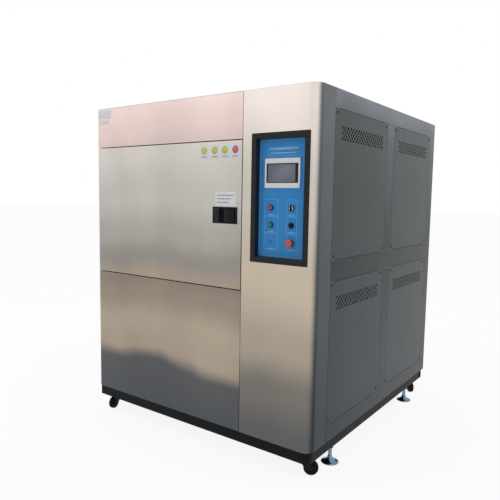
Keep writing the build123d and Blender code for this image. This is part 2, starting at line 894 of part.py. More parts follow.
def zone_liners():
    """Three liners and the two shelf runners inside the middle one."""
    slot = box(*damper_x, *damper_y, cold_ceiling - 2 * sheet, hot_bottom + 2 * sheet)
    test = liner(frame_front, test_floor, test_ceiling, True) - slot
    hot = liner(zone_front, hot_bottom, hot_ceiling, False) - slot
    cold = liner(zone_front, cold_bottom, cold_ceiling, False) - slot
    hot -= shaft_hole_x(zone_right - 2 * sheet, zone_right + cut_past, hot_damper_z)
    hot -= shaft_hole_y(zone_back - 2 * sheet, zone_back + cut_past, hot_fan_z)
    cold -= shaft_hole_x(zone_right - 2 * sheet, zone_right + cut_past, cold_damper_z)
    cold -= shaft_hole_y(zone_back - 2 * sheet, zone_back + cut_past, cold_fan_z)
    runners = []
    for x0 in (zone_left + sheet, zone_right - sheet - runner_width):
        ends = (plug_back + running_gap, zone_back - sheet)
        runners.append(box(x0, x0 + runner_width, *ends, runner_top - runner_thickness, runner_top))
    return group([test, hot, cold] + runners)


def damper(hinge_z, side):
    """Flap over a slot on the side named by its sign, on a shaft that ends at the actuator."""
    shaft = rod_x(
        zone_left + sheet + running_gap, zone_right + zone_wall - running_gap, damper_hinge_y, hinge_z,
        damper_shaft_radius,
    )
    face = hinge_z - side * damper_shaft_radius
    far = face + side * damper_plate
    flap = box(
        damper_x[0] - damper_lap, damper_x[1] + damper_lap, damper_y[0] - damper_lap, damper_hinge_y,
        min(face, far), max(face, far),
    )
    return shaft + flap


def damper_actuators():
    half = actuator_size / 2
    x0 = zone_right + zone_wall
    y = (damper_hinge_y - half, damper_hinge_y + half)
    return group([box(x0, x0 + actuator_size, *y, z - half, z + half) for z in (hot_damper_z, cold_damper_z)])


def shelf():
    """Wire shelf: a border of square bar with cross wires welded on top."""
    z = (shelf_bottom, shelf_bottom + shelf_bar)
    pieces = [
        box(shelf_left, shelf_left + shelf_bar, shelf_front, shelf_back, *z),
        box(shelf_right - shelf_bar, shelf_right, shelf_front, shelf_back, *z),
        box(shelf_left + shelf_bar, shelf_right - shelf_bar, shelf_front, shelf_front + shelf_bar, *z),
        box(shelf_left + shelf_bar, shelf_right - shelf_bar, shelf_back - shelf_bar, shelf_back, *z),
    ]
    span = shelf_right - shelf_left - shelf_bar
    for index in range(shelf_wires):
        x = shelf_left + shelf_bar / 2 + (index + 0.5) * span / shelf_wires
        pieces.append(
            box(x - shelf_wire / 2, x + shelf_wire / 2, shelf_front, shelf_back, z[1], z[1] + shelf_wire)
        )
    return group(pieces)


def heater_rods():
    """Sheathed heating rods across the hot zone, in two staggered rows."""
    rods = []
    for index in range(heater_rods_count):
        y = zone_back - heater_from_back - index * heater_pitch
        z = hot_fan_z + (index % 2 - 0.5) * heater_pitch
        rods.append(prism_x(zone_left + sheet, zone_right - sheet, y, z, heater_rod_radius, small_sides))
    return group(rods)


def blower_wheel(z, radius):
    """Backward-curved wheel on its shaft, which runs through the rear insulation to the motor."""
    disc_back = zone_back - sheet - fan_wall_gap
    disc_front = disc_back - blower_disc
    wheel = prism_y(zone_centre, disc_front, disc_back, z, radius)
    half = blower_blade_chord / 2
    edge = blade_thickness / 2
    blade = box(-half, half, disc_front - blower_blade_depth, disc_front, -edge, edge)
    blade = Rot(0, blower_blade_angle, 0) * blade
    reach = radius - half
    for index in range(blower_blades):
        turned = Rot(0, index * 360 / blower_blades, 0) * Pos(reach, 0, 0) * blade
        wheel += Pos(zone_centre, 0, z) * turned
    return wheel + rod_y(zone_centre, disc_back - fan_nose, motor_front - running_gap, z, fan_shaft_radius)


def fan_motors():
    return group(
        [
            prism_y(zone_centre, motor_front, motor_front + motor_length, z, motor_radius)
            for z in (hot_fan_z, cold_fan_z)
        ]
    )


def evaporator_coil():
    """Finned block on the floor of the cold zone, between two tube plates."""
    y1 = zone_back - coil_from_back
    y0 = y1 - coil_depth
    z0 = cold_bottom + sheet
    z1 = z0 + cold_zone_height - coil_head_room
    x0 = zone_centre - coil_width / 2
    x1 = zone_centre + coil_width / 2
    return finned_block(x0, x1, y0, y1, z0, z1)


def finned_block(x0, x1, y0, y1, z0, z1):
    """Core of the tubes, with fins that stand past it on every side."""
    past = fin_overhang
    block = box(x0, x1, y0 + past, y1 - past, z0 + past, z1 - past)
    pitch = (x1 - x0 - coil_fin_thickness) / (coil_fins - 1)
    for index in range(coil_fins):
        x = x0 + index * pitch
        block += box(x, x + coil_fin_thickness, y0, y1, z0, z1)
    return block


def compressors():
    """Two hermetic compressors, each a domed can on a square foot plate."""
    pieces = []
    for side in (-1, 1):
        x = zone_centre + side * compressor_spacing / 2
        y = front + compressor_from_front
        half = compressor_base / 2
        plate_top = floor_top + compressor_base_thickness
        can_top = floor_top + compressor_height
        shoulder = can_top - compressor_dome
        can = prism_z(x, y, plate_top, shoulder, compressor_radius)
        can += taper_z(x, y, shoulder, can_top, compressor_radius, compressor_radius - compressor_dome)
        pieces.append(can + box(x - half, x + half, y - half, y + half, floor_top, plate_top))
    return group(pieces)


def condenser_coil():
    """Finned block behind the rear grille, with its fan shroud and the struts of the fan motor."""
    half = condenser_width / 2
    x0 = condenser_x - half
    x1 = condenser_x + half
    z0 = condenser_bottom
    z1 = z0 + condenser_height
    core = finned_block(x0, x1, condenser_front, condenser_rear, z0, z1)
    shroud = box(x0, x1, shroud_front, condenser_front, z0, z1)
    shroud -= box(
        x0 + shroud_wall, x1 - shroud_wall, shroud_front + shroud_wall, condenser_front + cut_past,
        z0 + shroud_wall, z1 - shroud_wall,
    )
    mouth = condenser_fan_radius + condenser_fan_gap
    mouth_y = (shroud_front - cut_past, shroud_front + shroud_wall + cut_past)
    shroud -= prism_y(condenser_x, *mouth_y, condenser_z, mouth)
    feet = [
        box(x, x + condenser_stand, condenser_front, condenser_rear, floor_top, z0)
        for x in (x0, x1 - condenser_stand)
    ]
    strut_y = (shroud_front - motor_strut, shroud_front)
    strut_x = (condenser_motor_radius, half)
    strut_z = (condenser_z - motor_strut / 2, condenser_z + motor_strut / 2)
    motor_y = (shroud_front - condenser_motor_length, condenser_motor_back)
    motor = prism_y(condenser_x, *motor_y, condenser_z, condenser_motor_radius)
    for side in (-1, 1):
        ends = sorted(condenser_x + side * (value - shroud_wall) for value in strut_x)
        motor += box(*ends, *strut_y, *strut_z)
    return group([core, shroud, motor] + feet)


def condenser_fan():
    """Axial fan in the shroud, its pitched blades rooted in the hub."""
    y0 = shroud_front
    y1 = shroud_front + condenser_fan_length
    fan = prism_y(condenser_x, y0, y1, condenser_z, condenser_hub_radius)
    fan += rod_y(condenser_x, y1, y1 + condenser_hub_cap, condenser_z, fan_shaft_radius)
    root = condenser_hub_radius - condenser_blade_root
    half = condenser_blade_width / 2
    edge = blade_thickness / 2
    blade = box(0, condenser_fan_radius - root, -edge, edge, -half, half)
    for index in range(condenser_blades):
        pitched = Pos(root, 0, 0) * Rot(condenser_blade_angle, 0, 0) * blade
        turned = Rot(0, index * 360 / condenser_blades, 0) * pitched
        fan += Pos(condenser_x, (y0 + y1) / 2, condenser_z) * turned
    return fan


def electrical_panel():
    """Mounting plate on the seam posts, with rails and the switchgear clipped to them."""
    x0 = seam_post_right
    x1 = x0 + electric_plate
    y0 = frame_front
    y1 = mid_post_front + post_width
    z1 = under_roof - electric_plate_from_top
    z0 = z1 - electric_plate_height
    pieces = [box(x0, x1, y0, y1, z0, z1)]
    row_pitch = electric_plate_height / din_rows
    block_pitch = (y1 - y0 - 2 * post_width) / din_blocks
    for row in range(din_rows):
        z = z0 + (row + 0.5) * row_pitch
        half = din_rail_height / 2
        rail_x = x1 + din_rail_depth
        pieces.append(box(x1, rail_x, y0 + post_width, y1 - post_width, z - half, z + half))
        for index in range(din_blocks):
            y = y0 + post_width + (index + 0.5) * block_pitch
            reach = rail_x + din_block_depth
            side = din_block_width / 2
            rise = din_block_height / 2
            pieces.append(box(rail_x, reach, y - side, y + side, z - rise, z + rise))
    return group(pieces)


def control_bezel():
    """Black frame that stands proud of the column, with the walls of the recess behind it."""
    half = bezel_width / 2
    frame = box(bezel_x - half, bezel_x + half, front - bezel_proud, front, bezel_bottom, bezel_top)
    frame = fillet(frame.edges().filter_by(Axis.Y), bezel_radius)
    wall = window_half + bezel_wall
    wall_z = (window_bottom - bezel_wall, window_top + bezel_wall)
    frame += box(bezel_x - wall, bezel_x + wall, front, panel_face, *wall_z)
    window = box(
        bezel_x - window_half, bezel_x + window_half, front - bezel_proud - cut_past,
        panel_face + cut_past, window_bottom, window_top,
    )
    return frame - window


def control_panel():
    """Plate at the bottom of the recess, cut for the screen and the two-slot socket."""
    wall = window_half + bezel_wall
    plate_z = (window_bottom - bezel_wall, window_top + bezel_wall)
    plate = box(bezel_x - wall, bezel_x + wall, panel_face, panel_rear, *plate_z)
    half_width = screen_width / 2 - screen_flange
    half_height = screen_height / 2 - screen_flange
    plate -= box(
        bezel_x - half_width, bezel_x + half_width, panel_face - cut_past, panel_rear + cut_past,
        screen_z - half_height, screen_z + half_height,
    )
    for side in (-1, 1):
        x = socket_x + side * socket_slot_pitch / 2
        half_slot = socket_slot_width / 2
        z = control_rows[0]
        plate -= box(
            x - half_slot, x + half_slot, panel_face - cut_past, panel_rear + cut_past,
            z - socket_slot_height / 2, z + socket_slot_height / 2,
        )
    return plate


def touchscreen_housing():
    """Moulded flange on the panel, with its body through the cut-out and a seat for the glass."""
    half_width = screen_width / 2
    half_height = screen_height / 2
    face = panel_face - screen_proud
    flange_z = (screen_z - half_height, screen_z + half_height)
    flange = box(bezel_x - half_width, bezel_x + half_width, face, panel_face, *flange_z)
    flange = fillet(flange.edges().filter_by(Axis.Y), bezel_radius)
    body_width_half = half_width - screen_flange - running_gap
    body_height_half = half_height - screen_flange - running_gap
    flange += box(
        bezel_x - body_width_half, bezel_x + body_width_half, panel_face, panel_face + screen_body_depth,
        screen_z - body_height_half, screen_z + body_height_half,
    )
    return flange - glass_block(face - cut_past, face + glass_drop + glass_thickness)


def glass_block(y0, y1):
    half_width = glass_width / 2
    half_height = glass_height / 2
    z = (screen_z - half_height, screen_z + half_height)
    return box(bezel_x - half_width, bezel_x + half_width, y0, y1, *z)


def touchscreen_glass():
    face = panel_face - screen_proud + glass_drop
    return glass_block(face, face + glass_thickness)


def collar(place, outer_radius, bore_radius):
    x, z = place
    ring = prism_y(x, panel_face - collar_height, panel_face, z, outer_radius)
    bore_y = (panel_face - collar_height - cut_past, panel_face + cut_past)
    return ring - prism_y(x, *bore_y, z, bore_radius)


def switch_bodies():
    """Collars on the panel, and the contact blocks and the socket body behind it."""
    places = list(button_places.values()) + [selector_place]
    pieces = [collar(place, collar_radius, button_radius + running_gap) for place in places]
    pieces.append(collar(estop_place, estop_collar_radius, estop_neck_radius + running_gap))
    for x, z in places + [estop_place, (socket_x, control_rows[0])]:
        half_x = switch_body_size / 2
        half_z = switch_body_height / 2
        pieces.append(
            box(x - half_x, x + half_x, panel_rear, panel_rear + switch_body_depth, z - half_z, z + half_z)
        )
    return group(pieces)


def push_button(name):
    x, z = button_places[name]
    inner_end = panel_face - button_travel - running_gap
    return prism_y(x, panel_face - button_proud, inner_end, z, button_radius)


def selector_knob():
    x, z = selector_place
    face = panel_face - selector_height
    knob = rod_y(x, face, panel_face - running_gap, z, button_radius)
    half = selector_grip_width / 2
    reach = selector_grip_length / 2
    return knob + box(x - half, x + half, face - selector_grip, face, z - reach, z + reach)


def estop_button():
    """Mushroom head with a bevelled edge, on its neck."""
    x, z = estop_place
    face = panel_face - estop_proud
    head = prism_y(x, face + estop_edge, face + estop_head, z, estop_radius)
    slope = taper_angle(estop_radius, estop_radius - estop_edge, estop_edge)
    outline = Plane.XZ * RegularPolygon(estop_radius, round_sides)
    head += Pos(x, face + estop_edge, z) * extrude(outline, estop_edge, taper=slope)
    neck_end = panel_face - estop_travel - running_gap
    return head + prism_y(x, face + estop_head, neck_end, z, estop_neck_radius)


def door_skin():
    """Outer pan of the door: front, rounded hinge corner and folded returns."""
    outer = rounded_front(
        left, door_right, front, door_back, door_bottom, door_top, corner_radius, True, False
    )
    hollow = rounded_front(
        skin_left, door_right - sheet, front + sheet, door_back + cut_past, door_bottom + sheet,
        door_top - sheet, corner_radius - sheet, True, False,
    )
    return outer - hollow - latch_block(front - cut_past, front + sheet + cut_past, latch_rim - running_gap)


def latch_block(y0, y1, rim):
    """Block of the latch housing's outline, taken in by a rim."""
    half = latch_height / 2 - rim
    return box(latch_left + rim, latch_right - rim, y0, y1, latch_z - half, latch_z + half)


def bolt_channel(y0, y1, clearance):
    """Space that the bolt needs over its travel."""
    half = bolt_height / 2 + clearance
    x0 = bolt_left - bolt_travel - clearance
    return box(x0, bolt_right + clearance, y0, y1, latch_z - half, latch_z + half)


def door_core():
    """Insulation that fills the pan and the plug, round the latch housing and the bolt."""
    foam = rounded_front(
        skin_left, door_right - sheet, front + sheet, door_back - sheet, door_bottom + sheet,
        door_top - sheet, corner_radius - sheet, True, False,
    )
    foam -= latch_block(front, front + latch_depth, latch_rim - running_gap)
    foam -= bolt_channel(door_back - bolt_arm - 2 * sheet, door_back, bolt_core_gap)
    return foam + plug_block(door_back - sheet, plug_back - sheet, sheet)


def plug_block(y0, y1, wall):
    """Block of the plug's outline, taken in by its wall."""
    block = box(plug_left + wall, plug_right - wall, y0, y1, plug_bottom + wall, plug_top - wall)
    return fillet(block.edges().filter_by(Axis.Y), plug_radius - wall)


def door_liner():
    """Inner pan with the plug that enters the opening, slotted for the latch tongue."""
    plate = box(
        skin_left, door_right - sheet, door_back - sheet, door_back, door_bottom + sheet, door_top - sheet
    )
    pan = plate + plug_block(door_back, plug_back, 0)
    pan -= plug_block(door_back - sheet - cut_past, plug_back - sheet, sheet)
    return pan - bolt_channel(door_back - sheet - cut_past, door_back + cut_past, running_gap)


def door_gasket():
    """Silicone ring round the plug, just short of the frame face when the door is shut."""
    y = (door_back, frame_face - running_gap)
    inner = box(
        plug_left - gasket_lap, plug_right + gasket_lap, door_back - cut_past, frame_face,
        plug_bottom - gasket_lap, plug_top + gasket_lap,
    )
    reach = gasket_lap + gasket_width
    outer = box(plug_left - reach, plug_right + reach, *y, plug_bottom - reach, plug_top + reach)
    return outer - inner


def latch_housing():
    """Black cup in the door: flange, blank plate on the left, finger hollow and pin bores."""
    flange = latch_block(front - latch_flange, front, 0)
    cup = flange + latch_block(front, front + latch_depth, latch_rim)
    cup -= box(
        pocket_left, pocket_right, front - latch_flange - cut_past, front + latch_depth - latch_floor,
        latch_z - pocket_half, latch_z + pocket_half,
    )
    reach = pocket_half + paddle_pin_end + running_gap
    bore = rod_z(paddle_pin_x, paddle_pin_y, latch_z - reach, latch_z + reach, paddle_pin_radius + shaft_gap)
    return cup - bore


def latch_paddle():
    """Bowed pull plate with a finger lip, on the pin at its right end."""
    half = pocket_half - paddle_side_gap
    back_y = front + paddle_thickness - latch_flange
    middle = (paddle_left + paddle_right) / 2
    outer = ThreePointArc(
        (paddle_left, back_y - paddle_thickness, 0),
        (middle, back_y - paddle_thickness - paddle_bulge, 0),
        (paddle_right, back_y - paddle_thickness, 0),
    )
    sides = Polyline(
        (paddle_right, back_y - paddle_thickness, 0),
        (paddle_right, back_y, 0),
        (paddle_left, back_y, 0),
        (paddle_left, back_y - paddle_thickness, 0),
    )
    plate = extrude(make_face(outer + sides), 2 * half, dir=(0, 0, 1))
    paddle = Pos(0, 0, latch_z - half) * plate
    z = (latch_z - half, latch_z + half)
    lip = box(paddle_left, paddle_left + paddle_lip_thickness, back_y, back_y + paddle_lip, *z)
    lug_x = (paddle_pin_x - paddle_pin_radius - paddle_lug_wall, paddle_pin_x + paddle_lug_wall)
    lug = box(*lug_x, back_y, paddle_pin_y + paddle_pin_radius + paddle_lug_wall, *z)
    reach = pocket_half + paddle_pin_end
    pin = rod_z(paddle_pin_x, paddle_pin_y, latch_z - reach, latch_z + reach, paddle_pin_radius)
    return paddle + lip + lug + pin


def latch_bolt():
    """Slide bolt: body behind the skin, tongue through the liner and hook at its tip."""
    half = bolt_height / 2
    z = (latch_z - half, latch_z + half)
    body_back = door_back - sheet - bolt_liner_gap
    body = box(bolt_left, bolt_right, door_back - bolt_arm, body_back, *z)
    tongue = box(bolt_left, bolt_left + bolt_width, body_back, bolt_tip, *z)
    hook = box(bolt_left, bolt_right, bolt_tip - 2 * bolt_hook, bolt_tip, *z)
    return body + tongue + hook


def hinge_leaves(to_door):
    """Lift-off hinges on the left side: the lower half and the pin are fixed, the upper half swings."""
    pieces = []
    half_height = hinge_height / 2
    for level in hinge_levels:
        if to_door:
            z0 = level + half_height + running_gap
            z1 = level + hinge_height
            leaf_y = (hinge_y - hinge_door_leaf_width, hinge_y - hinge_leaf_gap)
        else:
            z0 = level
            z1 = level + half_height
            leaf_y = (hinge_y + 2 * seam_gap, hinge_y + hinge_leaf_width)
        leaf = box(left - hinge_leaf, left, *leaf_y, z0, z1)
        reach = knuckle_radius - hinge_web_inset
        if to_door:
            web = box(hinge_x, left, hinge_y - reach, hinge_y - reach + hinge_leaf, z0, z1)
        else:
            web = box(hinge_x, left, hinge_y + reach - hinge_leaf, hinge_y + reach, z0, z1)
        half = leaf + web + prism_z(hinge_x, hinge_y, z0, z1, knuckle_radius, small_sides)
        if to_door:
            bore_radius = hinge_pin_radius + shaft_gap
            bore_z = (z0 - cut_past, z1 + cut_past)
            half -= prism_z(hinge_x, hinge_y, *bore_z, bore_radius, small_sides, True)
        else:
            half += rod_z(hinge_x, hinge_y, z1, level + hinge_height - running_gap, hinge_pin_radius)
        pieces.append(half)
    return group(pieces)


nodes = {
    "base_frame": base_frame(),
    "castor_and_foot_plates": castor_and_foot_plates(),
    "cabinet_frame": cabinet_frame(),
    "column_cover": column_cover(),
    "lower_front_cover": left_cover(base_top, lower_cover_top),
    "upper_front_cover": left_cover(upper_cover_bottom, under_roof),
    "door_frame": door_frame(),
    "roof_panel": roof_panel(),
    "right_side_strips": right_side_strips(),
    "right_lower_vent_panels": vent_panels(lower_vent_bottom),
    "right_upper_vent_panels": vent_panels(upper_vent_bottom),
    "left_side_panels": left_side_panels(),
    "back_panels": back_panels(),
    "panel_screws": panel_screws(),
    "insulation": insulation(),
    "zone_liners": zone_liners(),
    "damper_actuators": damper_actuators(),
    "heater_rods": heater_rods(),
    "fan_motors": fan_motors(),
    "evaporator_coil": evaporator_coil(),
    "compressors": compressors(),
    "condenser_coil": condenser_coil(),
    "electrical_panel": electrical_panel(),
    "control_bezel": control_bezel(),
    "control_panel": control_panel(),
    "touchscreen_housing": touchscreen_housing(),
    "touchscreen_glass": touchscreen_glass(),
    "switch_bodies": switch_bodies(),
    "hinge_frame_leaves": hinge_leaves(False),
    "door_skin": door_skin(),
    "door_core": door_core(),
    "door_liner": door_liner(),
    "door_gasket": door_gasket(),
    "hinge_door_leaves": hinge_leaves(True),
    "latch_housing": latch_housing(),
    "latch_paddle": latch_paddle(),
    "latch_bolt": latch_bolt(),
    "shelf": shelf(),
    "selector_knob": selector_knob(),
    "estop_button": estop_button(),
    "hot_fan": blower_wheel(hot_fan_z, hot_fan_radius),
    "cold_fan": blower_wheel(cold_fan_z, cold_fan_radius),
    "condenser_fan": condenser_fan(),
    "hot_damper": damper(hot_damper_z, 1),
    "cold_damper": damper(cold_damper_z, -1),
}
for name in button_places:
    nodes[name] = push_button(name)
for name in castor_places:
    nodes["castor_fork_" + name] = castor_fork(name)
    nodes["castor_wheel_" + name] = castor_wheel(name)
    nodes["levelling_foot_" + name] = levelling_foot(name)

os.makedirs("parts", exist_ok=True)
for name, shape in nodes.items():
    export_step(shape, "parts/" + name + ".step")
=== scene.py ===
import bmesh
import bpy
import math
from mathutils import Matrix, Vector


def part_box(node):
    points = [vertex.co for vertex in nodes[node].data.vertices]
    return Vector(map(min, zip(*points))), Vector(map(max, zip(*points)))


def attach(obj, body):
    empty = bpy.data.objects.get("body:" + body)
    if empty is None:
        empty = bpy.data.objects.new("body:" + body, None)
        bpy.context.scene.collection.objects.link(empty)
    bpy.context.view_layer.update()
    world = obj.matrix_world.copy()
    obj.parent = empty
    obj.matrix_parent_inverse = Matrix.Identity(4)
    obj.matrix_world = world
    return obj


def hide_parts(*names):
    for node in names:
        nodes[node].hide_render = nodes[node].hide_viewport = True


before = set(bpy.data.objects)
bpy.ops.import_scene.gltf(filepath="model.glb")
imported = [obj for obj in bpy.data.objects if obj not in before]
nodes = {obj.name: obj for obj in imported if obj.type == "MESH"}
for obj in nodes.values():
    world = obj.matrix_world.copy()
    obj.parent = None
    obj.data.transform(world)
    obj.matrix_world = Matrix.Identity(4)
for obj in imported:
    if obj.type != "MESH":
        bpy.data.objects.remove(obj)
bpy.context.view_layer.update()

print("frame loaded with", len(nodes), "nodes")


# Camera at the photograph's place
cameraSettings = {
    "place": (1.9333, -2.9195, 1.3543),
    "yaw": 36.027,        # degrees to the left of straight ahead
    "pitch": 5.656,       # degrees down
    "roll": 0.952,
    "lens": 38.10,
    "sensor": 36.0,
}


def makeCamera(settings):
    yaw, pitch, roll = (math.radians(settings[key]) for key in ("yaw", "pitch", "roll"))
    forward = Vector((-math.sin(yaw) * math.cos(pitch), math.cos(yaw) * math.cos(pitch), -math.sin(pitch)))
    level = Vector((math.cos(yaw), math.sin(yaw), 0))
    upright = level.cross(forward)
    right = math.cos(roll) * level + math.sin(roll) * upright
    up = math.cos(roll) * upright - math.sin(roll) * level
    camera = bpy.data.objects.new("camera", bpy.data.cameras.new("camera"))
    camera.data.lens = settings["lens"]
    camera.data.sensor_width = settings["sensor"]
    turn = Matrix((right, up, -forward)).transposed().to_4x4()
    camera.matrix_world = Matrix.Translation(settings["place"]) @ turn
    bpy.context.scene.collection.objects.link(camera)
    bpy.context.scene.camera = camera


makeCamera(cameraSettings)


# Node helpers for the materials
def srgb(red, green, blue):
    shares = [value / 255 for value in (red, green, blue)]
    linear = [share / 12.92 if share <= 0.04045 else ((share + 0.055) / 1.055) ** 2.4 for share in shares]
    return (*linear, 1.0)


def startMaterial(name):
    material = bpy.data.materials.new(name)
    material.use_nodes = True
    tree = material.node_tree
    return material, tree, tree.nodes["Principled BSDF"]


def addNode(tree, kind, **settings):
    node = tree.nodes.new(kind)
    for key, value in settings.items():
        setattr(node, key, value)
    return node


def placeOf(tree, stretch=(1, 1, 1)):
    coords = addNode(tree, "ShaderNodeTexCoord")
    mapping = addNode(tree, "ShaderNodeMapping")
    mapping.inputs["Scale"].default_value = stretch
    tree.links.new(coords.outputs["Object"], mapping.inputs["Vector"])
    return mapping.outputs["Vector"]


def noiseOf(tree, scale, stretch=(1, 1, 1), detail=3.0):
    noise = addNode(tree, "ShaderNodeTexNoise")
    noise.inputs["Scale"].default_value = scale
    noise.inputs["Detail"].default_value = detail
    tree.links.new(placeOf(tree, stretch), noise.inputs["Vector"])
    return noise.outputs["Fac"]


def remap(tree, value, low, high, fromLow=0.3, fromHigh=0.7, soft=False):
    node = addNode(tree, "ShaderNodeMapRange")
    if soft:
        node.interpolation_type = "SMOOTHSTEP"
    tree.links.new(value, node.inputs["Value"])
    for key, number in (("From Min", fromLow), ("From Max", fromHigh), ("To Min", low), ("To Max", high)):
        node.inputs[key].default_value = number
    return node.outputs["Result"]


# a plain value, or a link from another node
def feed(tree, socket, value):
    if isinstance(value, bpy.types.NodeSocket):
        tree.links.new(value, socket)
    else:
        socket.default_value = value


def math2(tree, operation, first, second):
    node = addNode(tree, "ShaderNodeMath", operation=operation)
    feed(tree, node.inputs[0], first)
    feed(tree, node.inputs[1], second)
    return node.outputs["Value"]


def axisOf(tree, letter):
    split = addNode(tree, "ShaderNodeSeparateXYZ")
    tree.links.new(placeOf(tree), split.inputs["Vector"])
    return split.outputs[letter]


def mixColour(tree, share, first, second, blend="MIX"):
    node = addNode(tree, "ShaderNodeMix", data_type="RGBA", blend_type=blend)
    sockets = [s for s in node.inputs if s.type == "RGBA"]
    feed(tree, node.inputs["Factor"], share)
    for socket, value in zip(sockets, (first, second)):
        feed(tree, socket, value)
    return [s for s in node.outputs if s.type == "RGBA"][0]


# stops: (height, red, green, blue)
def rampOf(tree, value, stops, low, high):
    share = remap(tree, value, 0, 1, low, high)
    ramp = addNode(tree, "ShaderNodeValToRGB")
    ramp.color_ramp.interpolation = "EASE"
    elements = ramp.color_ramp.elements
    while len(elements) < len(stops):
        elements.new(0.5)
    for element, (place, *colour) in zip(elements, stops):
        element.position = (place - low) / (high - low)
        element.color = srgb(*colour)
    tree.links.new(share, ramp.inputs["Fac"])
    return ramp.outputs["Color"]


def addBump(tree, shader, height, depth, strength=1.0):
    bump = addNode(tree, "ShaderNodeBump")
    bump.inputs["Distance"].default_value = depth
    bump.inputs["Strength"].default_value = strength
    tree.links.new(height, bump.inputs["Height"])
    tree.links.new(bump.outputs["Normal"], shader.inputs["Normal"])


# a colour that a noise makes darker and lighter by up to spread
def tintBy(tree, colour, noise, spread):
    shade = remap(tree, noise, 1 - spread, 1 + spread)
    combine = addNode(tree, "ShaderNodeCombineColor")
    for socket in combine.inputs:
        tree.links.new(shade, socket)
    return mixColour(tree, 1.0, colour, combine.outputs["Color"], "MULTIPLY")


# Brushed steel with painted reflection: each stop is the colour that a sheet mirrors at that height, painted
# into its base colour
steelFinish = {
    "wanderScale": 2.2, "wanderStretch": (1.0, 1.0, 0.6), "wander": (-0.045, 0.025),      # metres down and up
    "blotchScale": 3.5, "blotchStretch": (1.0, 1.0, 0.5), "blotch": 0.07,
    "acrossGrain": 900.0, "alongGrain": 6.0,                  # brush lines to the metre
    "lineShade": 0.035, "lineDepth": 0.00006, "lineStrength": 0.6,
    "rough": (0.30, 0.42), "metal": 0.92,
}


def steel(name, stops, grain="z", side=None):
    material, tree, shader = startMaterial(name)
    low, high = stops[0][0], stops[-1][0]
    wander = noiseOf(tree, steelFinish["wanderScale"], steelFinish["wanderStretch"], 2.0)
    height = math2(tree, "ADD", axisOf(tree, "Z"), remap(tree, wander, *steelFinish["wander"]))
    colour = rampOf(tree, height, stops, low, high)
    # painted shade: past the bend, the right side gets its own darker stops
    if side:
        shadedSideColour = rampOf(tree, height, side["stops"], low, high)
        share = remap(tree, axisOf(tree, side["axis"]), 0, 1, side["from"], side["to"], True)
        colour = mixColour(tree, share, colour, shadedSideColour)
    blotches = noiseOf(tree, steelFinish["blotchScale"], steelFinish["blotchStretch"], 4.0)
    colour = tintBy(tree, colour, blotches, steelFinish["blotch"])
    stretch = [steelFinish["acrossGrain"]] * 3
    stretch["xyz".index(grain)] = steelFinish["alongGrain"]
    lines = noiseOf(tree, 1.0, tuple(stretch), 2.0)
    colour = tintBy(tree, colour, lines, steelFinish["lineShade"])
    tree.links.new(colour, shader.inputs["Base Color"])
    tree.links.new(remap(tree, lines, *steelFinish["rough"]), shader.inputs["Roughness"])
    shader.inputs["Metallic"].default_value = steelFinish["metal"]
    addBump(tree, shader, lines, steelFinish["lineDepth"], steelFinish["lineStrength"])
    return material


# painted reflection down the column's front, and painted shade on its right side past the bend
columnSteel = steel("columnSteel", [
    (0.14, 94, 95, 96), (0.42, 120, 116, 110), (0.62, 169, 157, 142), (0.95, 200, 186, 168),
    (1.35, 203, 196, 186), (1.86, 238, 227, 220),
], side={
    "axis": "Y", "from": -0.814, "to": -0.786,
    "stops": [(0.14, 46, 52, 58), (0.9, 74, 80, 82), (1.4, 86, 92, 94), (1.86, 102, 107, 109)],
})
# painted reflection: each piece below has its own stops for what it mirrors
lowerSteel = steel("lowerSteel", [
    (0.14, 80, 83, 87), (0.36, 86, 88, 90), (0.46, 165, 152, 136), (0.62, 173, 159, 142),
    (0.80, 150, 137, 124), (0.88, 142, 130, 118),
])
doorSteel = steel("doorSteel", [
    (0.88, 167, 153, 137), (1.0, 150, 144, 138), (1.15, 172, 168, 161), (1.35, 192, 190, 183),
    (1.628, 211, 205, 198),
])
upperSteel = steel("upperSteel", [(1.62, 214, 194, 190), (1.72, 226, 204, 199), (1.86, 232, 212, 206)])
plainSteel = steel("plainSteel", [
    (0.14, 96, 98, 100), (0.6, 140, 138, 134), (1.2, 170, 168, 163), (1.86, 196, 192, 187),
])
roofSteel = steel("roofSteel", [(1.85, 205, 202, 198), (1.87, 212, 208, 203)], grain="y")
# painted shade: the right side's vent panels are a darker copy of the steel, darkest at the bottom
shadedVentSteel = steel("shadedVentSteel", [
    (0.14, 36, 44, 52), (0.4, 50, 57, 61), (0.9, 56, 63, 66), (1.3, 62, 69, 71), (1.86, 68, 75, 76),
])
# painted shade: the right side's strips are a darker copy of the steel, lighter towards the top
shadedStripSteel = steel("shadedStripSteel", [
    (0.14, 34, 41, 48), (0.5, 46, 52, 58), (1.0, 42, 49, 52), (1.6, 74, 80, 84),
    (1.75, 96, 102, 108), (1.86, 118, 124, 132),
])

# Everything else: a fine grain and a coarser cloud over one colour
finishRecipe = {"cloudSize": 12, "dustShare": 0.35, "dustRange": (0.5, 0.75), "roughSwing": 0.15}


def finish(name, colour, rough, metal, scale, spread, bump=0.0, coat=0.0, dust=None,
           stretch=(1, 1, 1), gloss=0.5):
    material, tree, shader = startMaterial(name)
    shader.inputs["Specular IOR Level"].default_value = gloss
    grain = noiseOf(tree, scale, stretch)
    cloud = noiseOf(tree, scale / finishRecipe["cloudSize"], (1, 1, 1), 4.0)
    made = tintBy(tree, tintBy(tree, srgb(*colour), grain, spread), cloud, spread)
    if dust:
        share = remap(tree, cloud, 0, finishRecipe["dustShare"], *finishRecipe["dustRange"])
        made = mixColour(tree, share, made, srgb(*dust))
    tree.links.new(made, shader.inputs["Base Color"])
    swing = finishRecipe["roughSwing"]
    roughness = remap(tree, grain, rough * (1 - swing), min(1.0, rough * (1 + swing)))
    tree.links.new(roughness, shader.inputs["Roughness"])
    shader.inputs["Metallic"].default_value = metal
    if coat:
        shader.inputs["Coat Weight"].default_value = coat
    if bump:
        addBump(tree, shader, grain, bump)
    return material


